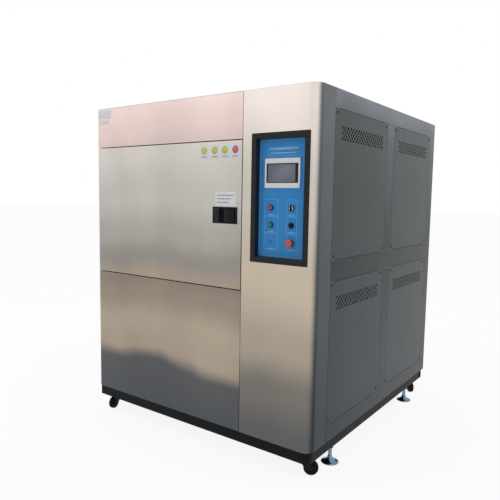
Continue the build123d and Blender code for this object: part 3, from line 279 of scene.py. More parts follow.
# name, colour, roughness, metal, grain scale and spread, then bump depth and clear coat
innerSteel = finish("innerSteel", (190, 190, 188), 0.3, 0.95, 120, 0.05, 0.00004, stretch=(0.05, 1, 1))
satinBlack = finish("satinBlack", (14, 17, 19), 0.5, 0.0, 90, 0.2, 0.00008, dust=(24, 26, 28), gloss=0.1)
framePaint = finish("framePaint", (150, 152, 154), 0.45, 0.0, 80, 0.05, 0.00005)
blackPlastic = finish("blackPlastic", (20, 20, 22), 0.42, 0.0, 500, 0.12, 0.00005, gloss=0.15)
bezelBlack = finish("bezelBlack", (30, 31, 34), 0.4, 0.0, 400, 0.1, 0.00004, gloss=0.2)
panelBlue = finish("panelBlue", (54, 142, 212), 0.4, 0.0, 300, 0.035, 0.00001, gloss=0.25)
printPale = finish("printPale", (136, 194, 236), 0.5, 0.0, 200, 0.04)
printWhite = finish("printWhite", (236, 238, 240), 0.5, 0.0, 200, 0.03)
whitePlastic = finish("whitePlastic", (232, 233, 236), 0.3, 0.0, 300, 0.025, 0.00001, 0.2)
screenFrame = finish("screenFrame", (30, 32, 40), 0.3, 0.0, 120, 0.05, gloss=0.2)
screenGlass = finish("screenGlass", (132, 134, 146), 0.4, 0.0, 8, 0.08, gloss=0.2)
redPlastic = finish("redPlastic", (168, 38, 56), 0.26, 0.0, 200, 0.06, 0, 0.4)
estopRed = finish("estopRed", (190, 74, 74), 0.3, 0.0, 200, 0.05, 0, 0.3)
greenPlastic = finish("greenPlastic", (12, 122, 96), 0.26, 0.0, 200, 0.06, 0, 0.4)
silverMetal = finish("silverMetal", (196, 198, 200), 0.28, 0.95, 200, 0.04, 0.00002)
footChrome = finish("footChrome", (112, 142, 166), 0.22, 1.0, 60, 0.1, 0.00002)
castorRubber = finish("castorRubber", (14, 15, 16), 0.6, 0.0, 300, 0.2, 0.00006, dust=(30, 30, 30), gloss=0.1)
castorSteel = finish("castorSteel", (16, 18, 20), 0.45, 0.0, 200, 0.12, 0.00004, gloss=0.15)
woolYellow = finish("woolYellow", (206, 198, 160), 0.95, 0.0, 220, 0.16, 0.0006)
gasketRed = finish("gasketRed", (150, 58, 44), 0.6, 0.0, 300, 0.08, 0.00005)
coilAluminium = finish("coilAluminium", (188, 190, 192), 0.35, 0.9, 200, 0.06, 0.00003)
machineGrey = finish("machineGrey", (112, 118, 124), 0.4, 0.0, 200, 0.06, 0.00006)
compressorBlack = finish("compressorBlack", (30, 31, 33), 0.3, 0.0, 120, 0.1, 0.0001, 0.2)
switchGrey = finish("switchGrey", (188, 190, 188), 0.5, 0.0, 200, 0.05, 0.00003)
screwBlack = finish("screwBlack", (20, 20, 22), 0.35, 0.4, 400, 0.15, 0.00002)
labelYellow = finish("labelYellow", (222, 214, 96), 0.45, 0.0, 200, 0.04)
labelAmber = finish("labelAmber", (226, 204, 108), 0.45, 0.0, 200, 0.04)
labelGreen = finish("labelGreen", (206, 216, 96), 0.45, 0.0, 200, 0.04)
labelPink = finish("labelPink", (214, 110, 120), 0.45, 0.0, 200, 0.05)
labelGrey = finish("labelGrey", (150, 154, 158), 0.5, 0.0, 200, 0.04)
print("materials made:", len(bpy.data.materials))


# Mesh helpers, all in metres in the shared frame
weldDistance = 0.00001
tipRadius = 0.00005       # closes the middle of a turned face


def linkPiece(name, bm, material, body, replaced=()):
    mesh = bpy.data.meshes.new(name)
    bm.to_mesh(mesh)
    bm.free()
    mesh.shade_smooth()
    piece = bpy.data.objects.new(name, mesh)
    bpy.context.scene.collection.objects.link(piece)
    for one in material if isinstance(material, list) else [material]:
        mesh.materials.append(one)
    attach(piece, body)
    if replaced:
        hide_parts(*replaced)
    return piece


def solidPiece(name, bm, material, body, replaced=()):
    bmesh.ops.recalc_face_normals(bm, faces=bm.faces)
    return linkPiece(name, bm, material, body, replaced)


def softenEdges(piece, width=0.0006, segments=2, angle=35):
    bevel = piece.modifiers.new("softEdges", "BEVEL")
    bevel.width = width
    bevel.segments = segments
    bevel.limit_method = "ANGLE"
    bevel.angle_limit = math.radians(angle)
    bevel.harden_normals = True
    bevel.miter_outer = "MITER_ARC"


def thicken(piece, thickness):
    solid = piece.modifiers.new("sheetThickness", "SOLIDIFY")
    solid.thickness = thickness
    solid.offset = -1
    solid.use_even_offset = True


def evenShading(piece):
    weighted = piece.modifiers.new("evenShading", "WEIGHTED_NORMAL")
    weighted.weight = 100
    weighted.keep_sharp = True


def dressNode(name, material, width, segments=2):
    node = nodes[name]
    for slot in node.material_slots:
        slot.material = material
    weld = node.modifiers.new("joinedCorners", "WELD")
    weld.merge_threshold = weldDistance
    softenEdges(node, width, segments)


def arc(centreX, centreY, radius, start, end, steps):
    points = []
    for step in range(steps + 1):
        angle = math.radians(start + (end - start) * step / steps)
        points.append((centreX + radius * math.cos(angle), centreY + radius * math.sin(angle)))
    return points


def circle(centreX, centreZ, radius, steps):
    return arc(centreX, centreZ, radius, 0, 360, steps)[:-1]


def roundedRect(x0, x1, z0, z1, radius, steps=5):
    corners = ((x1 - radius, z0 + radius, -90), (x1 - radius, z1 - radius, 0),
               (x0 + radius, z1 - radius, 90), (x0 + radius, z0 + radius, 180))
    points = []
    for centreX, centreZ, start in corners:
        points += arc(centreX, centreZ, radius, start, start + 90, steps)
    return points


# a rectangle (x0, x1, z0, z1) drawn in by inset on its four sides
def insetRect(rect, inset, radius, steps=5):
    x0, x1, z0, z1 = rect
    return roundedRect(x0 + inset, x1 - inset, z0 + inset, z1 - inset, radius, steps)


def frontRect(name, inset=0.0):
    low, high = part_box(name)
    return low.x + inset, high.x - inset, low.z + inset, high.z - inset


def middleOf(name):
    low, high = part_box(name)
    return (low + high) / 2


# flat points to the front (XZ), the right side (YZ) or the top (XY), at a depth
def facing(points, depth, plane="front"):
    if plane == "front":
        return [(u, depth, v) for u, v in points]
    if plane == "side":
        return [(depth, u, v) for u, v in points]
    return [(u, v, depth) for u, v in points]


# skin through loops of equally many points
def loft(bm, loops, capStart=True, ring=False, index=0):
    rows = [[bm.verts.new(point) for point in loop] for loop in loops]
    pairs = list(zip(rows, rows[1:]))
    if ring:
        pairs.append((rows[-1], rows[0]))
    made = []
    for first, second in pairs:
        for step in range(len(first)):
            after = (step + 1) % len(first)
            made.append(bm.faces.new((first[step], first[after], second[after], second[step])))
    if capStart and not ring:
        made.append(bm.faces.new(rows[0][::-1]))
    if not ring:
        made.append(bm.faces.new(rows[-1]))
    for face in made:
        face.material_index = index


# a raised patch between two depths
def addPatch(bm, outline, back, front, index=0):
    loft(bm, [facing(outline, back), facing(outline, front)], index=index)


# a rounded plate: (inset, depth) pairs
def addPlate(bm, rect, radius, rings, steps=5):
    loft(bm, [facing(insetRect(rect, inset, radius, steps), depth) for inset, depth in rings])


# turned round the Z axis of toPlace: (radius, height) pairs
def lathe(bm, profile, toPlace, steps, ring=False):
    loft(bm, [[toPlace @ Vector((x, y, height)) for x, y in circle(0, 0, radius, steps)]
              for radius, height in profile], ring=ring)


# turned round a line to the front through a node's middle: (radius, depth) pairs
def turnToFront(bm, node, profile, steps=40, ring=False):
    middle = middleOf(node)
    loft(bm, [facing(circle(middle.x, middle.z, max(radius, tipRadius), steps), depth)
              for radius, depth in profile], ring=ring)


# an upright sheet along a plan line, open at its windows (x0, x1, z0, z1, rearmost y)
def foldedSheet(bm, plan, levels, windows=()):
    rows = [[bm.verts.new((x, y, z)) for x, y in plan] for z in levels]
    for row in range(len(levels) - 1):
        for column in range(len(plan) - 1):
            x = (plan[column][0] + plan[column + 1][0]) / 2
            y = (plan[column][1] + plan[column + 1][1]) / 2
            z = (levels[row] + levels[row + 1]) / 2
            if not any(w[0] < x < w[1] and w[2] < z < w[3] and y < w[4] for w in windows):
                lower, upper = rows[row], rows[row + 1]
                bm.faces.new((lower[column], lower[column + 1], upper[column + 1], upper[column]))
    for vert in [v for v in bm.verts if not v.link_faces]:
        bm.verts.remove(vert)
    return rows


# Skins
skinSheets = {
    "cornerRadius": 0.030, "columnRadius": 0.050, "cornerSteps": 12, "thickness": 0.0015,
    "bend": 0.0022, "bendSteps": 3, "bendAngle": 40, "returnDepth": 0.068, "windowDepth": 0.001,
    "bezelBorder": 0.028, "bezelLap": 0.0023, "latchLap": 0.0022,      # laps of a frame over its window
}
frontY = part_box("column_cover")[0].y
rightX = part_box("column_cover")[1].x
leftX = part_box("door_skin")[0].x


def windowUnder(name, inset):
    return (*frontRect(name, inset), frontY + skinSheets["windowDepth"])


def rightCorner():
    radius = skinSheets["columnRadius"]
    return arc(rightX - radius, frontY + radius, radius, -90, 0, skinSheets["cornerSteps"])


def leftCorner():
    radius = skinSheets["cornerRadius"]
    return arc(leftX + radius, frontY + radius, radius, 180, 270, skinSheets["cornerSteps"])


def sheetPiece(name, bm, material, body, node):
    piece = linkPiece(name, bm, material, body, [node])
    softenEdges(piece, skinSheets["bend"], skinSheets["bendSteps"], skinSheets["bendAngle"])
    thicken(piece, skinSheets["thickness"])
    evenShading(piece)


def makeColumn():
    low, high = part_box("column_cover")
    cut = windowUnder("control_bezel", skinSheets["bezelBorder"] - skinSheets["bezelLap"])
    plan = [(low.x, frontY + skinSheets["returnDepth"]), (low.x, frontY), (cut[0], frontY), (cut[1], frontY)]
    plan += rightCorner() + [(rightX, high.y)]
    bm = bmesh.new()
    foldedSheet(bm, plan, [low.z, cut[2], cut[3], high.z], [cut])
    sheetPiece("columnSkin", bm, columnSteel, "cabinet", "column_cover")


def makeLeftPan(name, node, material, body, windows=(), wrap=True):
    low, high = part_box(node)
    panBack = frontY + skinSheets["returnDepth"] if wrap else high.y
    xs = sorted({x for w in windows for x in w[:2]})
    zs = sorted({z for w in windows for z in w[2:4]})
    plan = ([(low.x, high.y)] if wrap else []) + [(low.x, panBack)] + leftCorner()
    plan += [(x, frontY) for x in xs] + [(high.x, frontY), (high.x, panBack)]
    bm = bmesh.new()
    rows = foldedSheet(bm, plan, [low.z] + zs + [high.z], windows)
    first = 1 if wrap else 0          # the wrap's rear edge isn't part of the pan's floor and lid
    bm.faces.new(rows[0][first:][::-1])
    bm.faces.new(rows[-1][first:])
    sheetPiece(name, bm, material, body, node)


def makeRoof():
    low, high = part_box("roof_panel")
    outline = [(low.x, high.y)] + leftCorner() + rightCorner() + [(high.x, high.y)]
    bm = bmesh.new()
    loft(bm, [facing(outline, low.z, "top"), facing(outline, high.z, "top")])
    piece = solidPiece("roofSheet", bm, roofSteel, "cabinet", ["roof_panel"])
    softenEdges(piece)


makeColumn()
makeLeftPan("lowerCoverSkin", "lower_front_cover", lowerSteel, "cabinet")
makeLeftPan("upperCoverSkin", "upper_front_cover", upperSteel, "cabinet")
latchWindow = windowUnder("latch_housing", skinSheets["latchLap"])
makeLeftPan("doorSkinSheet", "door_skin", doorSteel, "door", [latchWindow], False)
makeRoof()

# Perforated panels on the right side, two in each of the two nodes
ventPanel = {
    "gap": 0.001, "holeRadius": 0.0068, "holeSides": 14, "pitch": 0.0305, "rowPitch": 0.014,
    "longRow": 17, "rows": 5, "fromTop": 0.112,
}


def makeVentPanel(name, y0, y1, z0, z1, replaced=()):
    loops = [[(y0, z0), (y1, z0), (y1, z1), (y0, z1)]]
    middleRow = (ventPanel["rows"] - 1) / 2
    middleZ = z1 + ventPanel["gap"] - ventPanel["fromTop"]
    for row in range(ventPanel["rows"]):
        count = ventPanel["longRow"] - row % 2
        z = middleZ + (middleRow - row) * ventPanel["rowPitch"]
        for step in range(count):
            y = (y0 + y1) / 2 + (step - (count - 1) / 2) * ventPanel["pitch"]
            loops.append(circle(y, z, ventPanel["holeRadius"], ventPanel["holeSides"]))
    bm = bmesh.new()
    edges = []
    for loop in loops:
        verts = [bm.verts.new((rightX, u, v)) for u, v in loop]
        edges += [bm.edges.new((verts[i], verts[(i + 1) % len(verts)])) for i in range(len(verts))]
    bmesh.ops.triangle_fill(bm, edges=edges, use_beauty=True, normal=(1, 0, 0))
    for face in bm.faces:
        if face.normal.x < 0:
            face.normal_flip()
    piece = linkPiece(name, bm, shadedVentSteel, "cabinet", replaced)
    piece.data.shade_flat()
    thicken(piece, skinSheets["thickness"])


for level in ("lower", "upper"):
    node = "right_" + level + "_vent_panels"
    low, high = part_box(node)
    topVerts = [v for v in nodes[node].data.vertices if v.co.z > high.z - 0.0001]
    ys = sorted({round(v.co.y, 5) for v in topVerts})
    makeVentPanel(level + "VentFront", ys[0], ys[1], low.z, high.z, [node])
    makeVentPanel(level + "VentRear", ys[-2], ys[-1], low.z, high.z)


# Screws with a crossed recess
screwHead = {"radius": 0.0067, "height": 0.0025, "crossArm": 0.0026, "crossHalf": 0.0006, "crossSunk": 0.0012}
screwRings = ((1.0, 0.0), (1.0, 0.45), (0.86, 0.8), (0.6, 0.97))      # shares of the radius and the height
screwTurns = {"right": (90, "Y"), "left": (-90, "Y"), "back": (-90, "X")}


def addScrew(bm, place, side, size=1.0):
    radius, height, arm, half, depth = (value * size for value in screwHead.values())
    degrees, axis = screwTurns[side]
    toPlace = Matrix.Translation(place) @ Matrix.Rotation(math.radians(degrees), 4, axis)
    cross = []
    for step in range(4):
        angle = math.radians(90 * step)
        cross += [(x * math.cos(angle) - y * math.sin(angle), x * math.sin(angle) + y * math.cos(angle))
                  for x, y in ((half, arm), (-half, arm), (-half, half))]
    around = [math.atan2(y, x) for x, y in cross]
    loops = [[(radius * r * math.cos(a), radius * r * math.sin(a), height * z) for a in around]
             for r, z in screwRings]
    loops += [[(x, y, z) for x, y in cross] for z in (height, height - depth)]
    loft(bm, [[toPlace @ Vector(point) for point in loop] for loop in loops])


# lowest and highest corners of each loose part of a node's mesh
def looseParts(name):
    bm = bmesh.new()
    bm.from_mesh(nodes[name].data)
    bmesh.ops.remove_doubles(bm, verts=bm.verts, dist=weldDistance)
    seen, parts = set(), []
    for start in bm.verts:
        if start.index in seen:
            continue
        island, queue = [], [start]
        seen.add(start.index)
        while queue:
            vert = queue.pop()
            island.append(vert.co.copy())
            for edge in vert.link_edges:
                other = edge.other_vert(vert)
                if other.index not in seen:
                    seen.add(other.index)
                    queue.append(other)
        parts.append([Vector([pick(c[k] for c in island) for k in range(3)]) for pick in (min, max)])
    bm.free()
    return parts


def makeScrews():
    screws = bmesh.new()
    parts = looseParts("panel_screws")
    near = 0.001
    for low, high in parts:
        middle = (low + high) / 2
        if low.x > rightX - near:
            addScrew(screws, (low.x, middle.y, middle.z), "right")
        elif high.x < leftX + near:
            addScrew(screws, (high.x, middle.y, middle.z), "left")
        else:
            addScrew(screws, (middle.x, low.y, middle.z), "back")
    solidPiece("panelScrewHeads", screws, screwBlack, "cabinet", ["panel_screws"])
    print("screws:", len(parts))


makeScrews()
print("skins made")


# Control panel
bezelShape = {"edge": 0.0012, "lip": 0.0015, "wall": 0.002, "radii": (0.004, 0.0034, 0.0022, 0.0016)}


def makeBezel():
    low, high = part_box("control_bezel")
    border, edge, lip = skinSheets["bezelBorder"], bezelShape["edge"], bezelShape["lip"]
    inner = border - bezelShape["wall"]
    outside, outsideEdge, insideEdge, inside = bezelShape["radii"]
    rings = [       # inset, corner radius, depth
        (0, outside, frontY), (0, outside, low.y + edge), (edge, outsideEdge, low.y),
        (border - lip, insideEdge, low.y), (border, inside, low.y + lip), (border, inside, high.y),
        (inner, inside, high.y), (inner, inside, frontY),
    ]
    rect = frontRect("control_bezel")
    bm = bmesh.new()
    loft(bm, [facing(insetRect(rect, inset, radius), depth) for inset, radius, depth in rings], ring=True)
    evenShading(solidPiece("panelBezel", bm, bezelBlack, "cabinet", ["control_bezel"]))


panelLayout = {
    "face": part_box("control_panel")[0].y, "edge": 0.002, "printSunk": 0.0001, "printHeight": 0.00025,
    "frameInset": 0.005, "frameWidth": 0.0018, "lineWidth": 0.0016, "lineRadius": 0.003,
    "bars": ((0.052, 0.052, 0.039), (0.060, 0.070, 0.064), (0.012, 0.0815, 0.0798)),   # aside, foot, head
    "boxes": ((0.470, 0.548), (0.596, 0.654)), "boxHalf": 0.0395,
    "rows": [middleOf(name).z for name in ("estop_button", "black_button", "red_button")],
    "boxBarHalf": 0.016, "boxBarRise": (0.0045, 0.0085),
}
printBack = panelLayout["face"] + panelLayout["printSunk"]
printFront = panelLayout["face"] - panelLayout["printHeight"]


def addBar(bm, x0, x1, z0, z1):
    addPatch(bm, roundedRect(x0, x1, z0, z1, min(x1 - x0, z1 - z0) * 0.2, 3), printBack, printFront)


def addLineBox(bm, rect, width):
    rings = ((0, printBack), (0, printFront), (width, printFront), (width, printBack))
    radius = panelLayout["lineRadius"]
    loft(bm, [facing(insetRect(rect, inset, radius, 3), depth) for inset, depth in rings], ring=True)


def makePanel():
    dressNode("control_panel", panelBlue, 0.0003, 1)
    x0, x1, z0, z1 = frontRect("control_panel", panelLayout["edge"])
    inset = panelLayout["frameInset"]
    prints = bmesh.new()
    addLineBox(prints, (x0 + inset, x1 - inset, z0 + inset, z1 - inset), panelLayout["frameWidth"])
    for aside, foot, head in panelLayout["bars"]:
        addBar(prints, x0 + aside, x1 - aside, z1 - foot, z1 - head)
    reach, (foot, head) = panelLayout["boxBarHalf"], panelLayout["boxBarRise"]
    for row in panelLayout["rows"]:
        boxFoot = row - panelLayout["boxHalf"]
        for left, right in panelLayout["boxes"]:
            addLineBox(prints, (left, right, boxFoot, row + panelLayout["boxHalf"]), panelLayout["lineWidth"])
            middle = (left + right) / 2
            addBar(prints, middle - reach, middle + reach, boxFoot + foot, boxFoot + head)
    solidPiece("panelPrint", prints, printPale, "cabinet")


touchscreenShape = {
    "corner": 0.006, "leastCorner": 0.0015, "glassCorner": 0.002, "rearInset": 0.0048, "rearChamfer": 0.004,
    "view": (0.0085, 0.015, 0.0035, 0.0045), "viewCorner": 0.001,       # left, right, foot and head borders
}


def makeTouchscreen():
    shape = touchscreenShape
    low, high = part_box("touchscreen_housing")
    glassLow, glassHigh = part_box("touchscreen_glass")
    outerRect, glassRect = frontRect("touchscreen_housing"), frontRect("touchscreen_glass")
    face, seat = low.y, panelLayout["face"]
    outer = [(0.001, seat), (0, seat - 0.001), (0, face + 0.003), (0.0012, face + 0.0009), (0.0035, face)]
    hole = [(-0.0035, face), (-0.001, face + 0.0006), (0, face + 0.002), (0, face + 0.004)]
    loops = [facing(insetRect(outerRect, inset, max(shape["corner"] - inset, shape["leastCorner"])), depth)
             for inset, depth in outer]
    loops += [facing(insetRect(glassRect, inset, shape["glassCorner"]), depth) for inset, depth in hole]
    bm = bmesh.new()
    loft(bm, loops, capStart=False)
    chamfer = shape["rearChamfer"]
    rearRect = frontRect("touchscreen_housing", shape["rearInset"])
    addPlate(bm, rearRect, shape["corner"], [(0, seat), (0, high.y - chamfer), (chamfer, high.y)])
    node = "touchscreen_housing"
    evenShading(solidPiece("touchscreenCase", bm, whitePlastic, "cabinet", [node]))
    bm = bmesh.new()
    mask = [(0.0002, glassHigh.y), (0.0002, glassLow.y + 0.0004), (0.0006, glassLow.y)]
    addPlate(bm, glassRect, shape["glassCorner"], mask)
    solidPiece("touchscreenMask", bm, screenFrame, "cabinet", ["touchscreen_glass"])
    left, right, foot, head = shape["view"]
    x0, x1, z0, z1 = glassRect
    view = roundedRect(x0 + left, x1 - right, z0 + foot, z1 - head, shape["viewCorner"], 3)
    bm = bmesh.new()
    addPatch(bm, view, glassLow.y + 0.0002, glassLow.y - 0.0001)
    solidPiece("touchscreenView", bm, screenGlass, "cabinet")


# caps: (share of the radius, depth behind the face); collars: (outer radius, bore)
buttonShapes = {
    "push": [(1, 0.0022), (0.94, 0.0009), (0.84, 0.0002), (0.74, 0), (0.68, 0.0005), (0.4, 0.0011),
             (0, 0.0013)],
    "estop": [(0.9, 0.012), (0.985, 0.0105), (1, 0.0085), (1, 0.0055), (0.97, 0.003), (0.88, 0.001),
              (0.74, 0.0002), (0.5, 0), (0, 0.0002)],
    "estopStem": (0.010, 0.0125), "collarHeight": 0.0058,
    "smallCollar": (0.0145, 0.0113), "estopCollar": (0.018, 0.0103),
}
selectorShape = {"gripRise": 0.008, "gripHalf": 0.003, "reach": 0.01025, "corner": 0.0012, "markHalf": 0.0005}


def capOf(node, shares):
    low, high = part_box(node)
    return [((high.x - low.x) / 2 * share, low.y + depth) for share, depth in shares]


def makePush(node, material):
    low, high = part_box(node)
    bm = bmesh.new()
    turnToFront(bm, node, [((high.x - low.x) / 2, high.y)] + capOf(node, buttonShapes["push"]))
    solidPiece(node + "Cap", bm, material, node, [node])


def makeEstop():
    low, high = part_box("estop_button")
    stem, stemFace = buttonShapes["estopStem"]
    profile = [(stem, high.y), (stem, low.y + stemFace)] + capOf("estop_button", buttonShapes["estop"])
    bm = bmesh.new()
    turnToFront(bm, "estop_button", profile, 48)
    solidPiece("estopMushroom", bm, estopRed, "estop_button", ["estop_button"])


def makeCollar(name, node, radii, material):
    outer, bore = radii
    face, height = panelLayout["face"], buttonShapes["collarHeight"]
    profile = [(outer, 0), (outer, height * 0.55), (outer - 0.0012, height * 0.85), (outer - 0.0026, height),
               (bore + 0.0012, height), (bore + 0.0002, height * 0.8), (bore + 0.0002, 0)]
    bm = bmesh.new()
    turnToFront(bm, node, [(radius, face - rise) for radius, rise in profile], ring=True)
    solidPiece(name, bm, material, "cabinet")


def makeSelector():
    node = "selector_knob"
    low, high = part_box(node)
    middle = middleOf(node)
    radius = (high.x - low.x) / 2
    gripFace, base = low.y, low.y + selectorShape["gripRise"]
    half, reach = selectorShape["gripHalf"], selectorShape["reach"]
    bm = bmesh.new()
    turnToFront(bm, node, [(radius, high.y), (radius, base + 0.0015), (radius - 0.0012, base + 0.0003),
                           (radius - 0.003, base), (radius * 0.62, base + 0.0004), (0, base + 0.0004)])
    grip = [(-0.0006, base + 0.001), (0, base - 0.003), (0.0004, gripFace + 0.0012), (0.0012, gripFace)]
    loops = []
    for inset, depth in grip:
        outline = roundedRect(middle.x - half + inset, middle.x + half - inset, middle.z - reach + inset * 2,
                              middle.z + reach - inset * 2, selectorShape["corner"])
        loops.append(facing(outline, depth))
    loft(bm, loops, index=1)
    markHalf = selectorShape["markHalf"]
    mark = roundedRect(middle.x - markHalf, middle.x + markHalf, middle.z + 0.001, middle.z + reach - 0.003,
                       0.0004, 2)
    addPatch(bm, mark, gripFace + 0.0004, gripFace + 0.00002, 2)
    solidPiece("selectorGrip", bm, [silverMetal, blackPlastic, printWhite], node, [node])


makeBezel()
makePanel()
makeTouchscreen()
makePush("red_button", redPlastic)
makePush("green_button", greenPlastic)
makePush("black_button", blackPlastic)
makeSelector()
makeEstop()
for node in ("red_button", "green_button", "black_button", "selector_knob"):
    makeCollar(node + "Collar", node, buttonShapes["smallCollar"], silverMetal)
makeCollar("estopCollar", "estop_button", buttonShapes["estopCollar"], whitePlastic)
dressNode("switch_bodies", blackPlastic, 0.0006)
print("control panel made")


# Pull latch
latchShape = {
    "blankEnd": 0.0454, "rightEnd": 0.0135, "border": 0.009, "floor": 0.003, "depth": 0.027,
    "corner": 0.003, "leastCorner": 0.001, "pocketCorner": 0.002, "neckInset": 0.0025, "edge": 0.0008,
}
paddleShape = {
    "fromPocketLeft": 0.028, "fromPocketRight": 0.007, "clearance": 0.001, "sunk": 0.002, "thick": 0.004,
    "bulge": 0.004, "steps": 14, "endRounding": 0.0012, "lipWidth": 0.003, "lipDepth": 0.014,
    "pinFromPocket": 0.009, "pinDepth": 0.010, "pinRadius": 0.0025, "lugRadius": 0.0035,
}
latchLow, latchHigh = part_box("latch_housing")
pocketLeft = latchLow.x + latchShape["blankEnd"]
pocketRight = latchHigh.x - latchShape["rightEnd"]


def makeLatchHousing():
    rect = frontRect("latch_housing")
    x0, z0, z1 = rect[0], rect[2], rect[3]
    border, neck, edge = latchShape["border"], latchShape["neckInset"], latchShape["edge"]
    corner, least = latchShape["corner"], latchShape["leastCorner"]
    pocket = (pocketLeft, pocketRight, z0 + border, z1 - border)
    face, back = latchLow.y, frontY + latchShape["depth"]
    outer = [(neck, back), (neck, frontY), (0, frontY), (0, face + edge), (edge, face)]
    inner = [(-0.001, face), (0, face + edge), (0, back - latchShape["floor"])]
    loops = [facing(insetRect(rect, inset, max(corner - inset / 2, least)), depth) for inset, depth in outer]
    loops += [facing(insetRect(pocket, inset, latchShape["pocketCorner"]), depth) for inset, depth in inner]
    bm = bmesh.new()
    loft(bm, loops)
    blank = roundedRect(x0 + 0.0045, pocketLeft - 0.004, z0 + 0.006, z1 - 0.006, 0.0016)
    addPatch(bm, blank, face + 0.0002, face - 0.0004, 1)
    cup = solidPiece("latchCup", bm, [blackPlastic, bezelBlack], "door", ["latch_housing"])
    evenShading(cup)


def makePaddle():
    body, shape = "latch_paddle", paddleShape
    middleZ = middleOf(body).z
    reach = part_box(body)[1].z - middleZ
    half = (latchHigh.z - latchLow.z) / 2 - latchShape["border"] - shape["clearance"]
    left, right = pocketLeft + shape["fromPocketLeft"], pocketRight - shape["fromPocketRight"]
    backY = frontY + shape["sunk"]
    section = []
    for step in range(shape["steps"] + 1):
        share = step / shape["steps"]
        bow = shape["bulge"] * (1 - (2 * share - 1) ** 2)
        section.append((left + (right - left) * share, backY - shape["thick"] - bow))
    lipX, lipY = left + shape["lipWidth"], backY + shape["lipDepth"]
    section += [(right, backY), (lipX, backY), (lipX, lipY), (left, lipY)]
    end = shape["endRounding"]
    low, high = middleZ - half, middleZ + half
    rounded = ((low, end), (low + end, 0), (high - end, 0), (high, end))
    bm = bmesh.new()
    loft(bm, [[(x, y + inset * (0.4 if y < backY else 0), z) for x, y in section] for z, inset in rounded])
    pinX, pinY = pocketRight - shape["pinFromPocket"], frontY + shape["pinDepth"]
    lug = [(pinX - 0.0045, backY), (pinX + 0.002, backY)]
    lug += arc(pinX - 0.001, pinY + 0.001, shape["lugRadius"], 0, 180, 8)
    loft(bm, [facing(lug, low, "top"), facing(lug, high, "top")])
    pin = [(shape["pinRadius"], -reach), (shape["pinRadius"], reach)]
    lathe(bm, pin, Matrix.Translation((pinX, pinY, middleZ)), 24)
    evenShading(solidPiece("latchPull", bm, blackPlastic, body, [body]))


makeLatchHousing()
makePaddle()
dressNode("latch_bolt", silverMetal, 0.0005)

# Plain plates on the front: rectangle, body, corner radius, a disc's paint and the number of bars
plates = {
    "doorLabel": ((0.180, 0.314, 1.309, 1.382), "door", 0.002, None, 3),
    "stickerOne": ((0.074, 0.134, 1.549, 1.621), "door", 0.003, labelYellow),
    "stickerTwo": ((0.143, 0.203, 1.549, 1.621), "door", 0.003, labelAmber),
    "stickerThree": ((0.211, 0.269, 1.549, 1.621), "door", 0.003, labelGreen),
    "stickerFour": ((0.278, 0.337, 1.549, 1.621), "door", 0.003, labelPink),
    "makerPlate": ((-0.742, -0.632, 1.811, 1.859), "cabinet", 0.002),
    "makerStrip": ((-0.742, -0.655, 1.778, 1.804), "cabinet", 0.002),
}
plateShape = {
    "rings": ((0, -0.0001), (0, 0.0004), (0.0003, 0.0006)), "print": (0.0005, 0.0008),      # inset and rise
    "discRadius": 0.020, "discRise": 0.58, "barCorner": 0.0008,
    "footBar": (0.010, 0.008, 0.012),                          # aside, foot and head
    "barAside": 0.012, "barPitch": 0.018, "barHalf": 0.0022,
}


def makePlate(name, rect, body, radius, paint=None, bars=0):
    shape = plateShape
    x0, x1, z0, z1 = rect
    back, front = (frontY - rise for rise in shape["print"])
    bm = bmesh.new()
    addPlate(bm, rect, radius, [(inset, frontY - rise) for inset, rise in shape["rings"]], 4)
    if paint:
        disc = circle((x0 + x1) / 2, z0 + (z1 - z0) * shape["discRise"], shape["discRadius"], 28)
        addPatch(bm, disc, back, front, 1)
        aside, foot, head = shape["footBar"]
        bar = roundedRect(x0 + aside, x1 - aside, z0 + foot, z0 + head, shape["barCorner"], 2)
        addPatch(bm, bar, back, front, 2)
    pitch, aside, half = shape["barPitch"], shape["barAside"], shape["barHalf"]
    for row in range(bars):
        z = z1 - pitch - row * pitch
        bar = roundedRect(x0 + aside, x1 - aside - pitch * row, z - half, z + half, shape["barCorner"], 2)
        addPatch(bm, bar, back, front, 2)
    solidPiece(name, bm, [printWhite, paint or labelGrey, labelGrey], body)


for name, settings in plates.items():
    makePlate(name, *settings)
print("latch and plates made")


# Castors
castor = {
    "wheelRadius": 0.0375, "halfWidth": 0.013, "shoulder": 0.005, "hub": 0.017, "bore": 0.0041,
    "trail": 0.036, "crownZ": 0.0775, "crown": (-0.022, 0.026, -0.018, 0.018),
    "forkPlates": ((0.015, 0.018), (-0.018, -0.015)), "forkEye": 0.0125,
    "nutRadius": 0.0068, "axleRadius": 0.0040, "nutFaces": (0.0182, 0.0200),
    "turns": {"front_left": -78.0, "front_right": 29.0, "rear_left": 160.0, "rear_right": -46.0},
    "spots": {"front_left": (-0.694, -0.736), "front_right": (0.694, -0.736),
              "rear_left": (-0.694, 0.736), "rear_right": (0.694, 0.736)},
}


def makeWheel(corner, toAxle):
    radius, half, hub = castor["wheelRadius"], castor["halfWidth"], castor["hub"]
    side = [(castor["bore"], -half), (hub * 0.55, -half), (hub * 0.6, -half + 0.002), (hub, -half + 0.003),
            (hub + 0.003, -half + 0.0006), (radius - castor["shoulder"], -half),
            (radius - 0.0016, -half + 0.0022), (radius - 0.0002, -half + 0.006)]
    bm = bmesh.new()
    lathe(bm, side + [(radius, 0)] + [(r, -height) for r, height in reversed(side)], toAxle, 48, ring=True)
    node = "castor_wheel_" + corner
    solidPiece("castorWheel_" + corner, bm, castorRubber, node, [node])


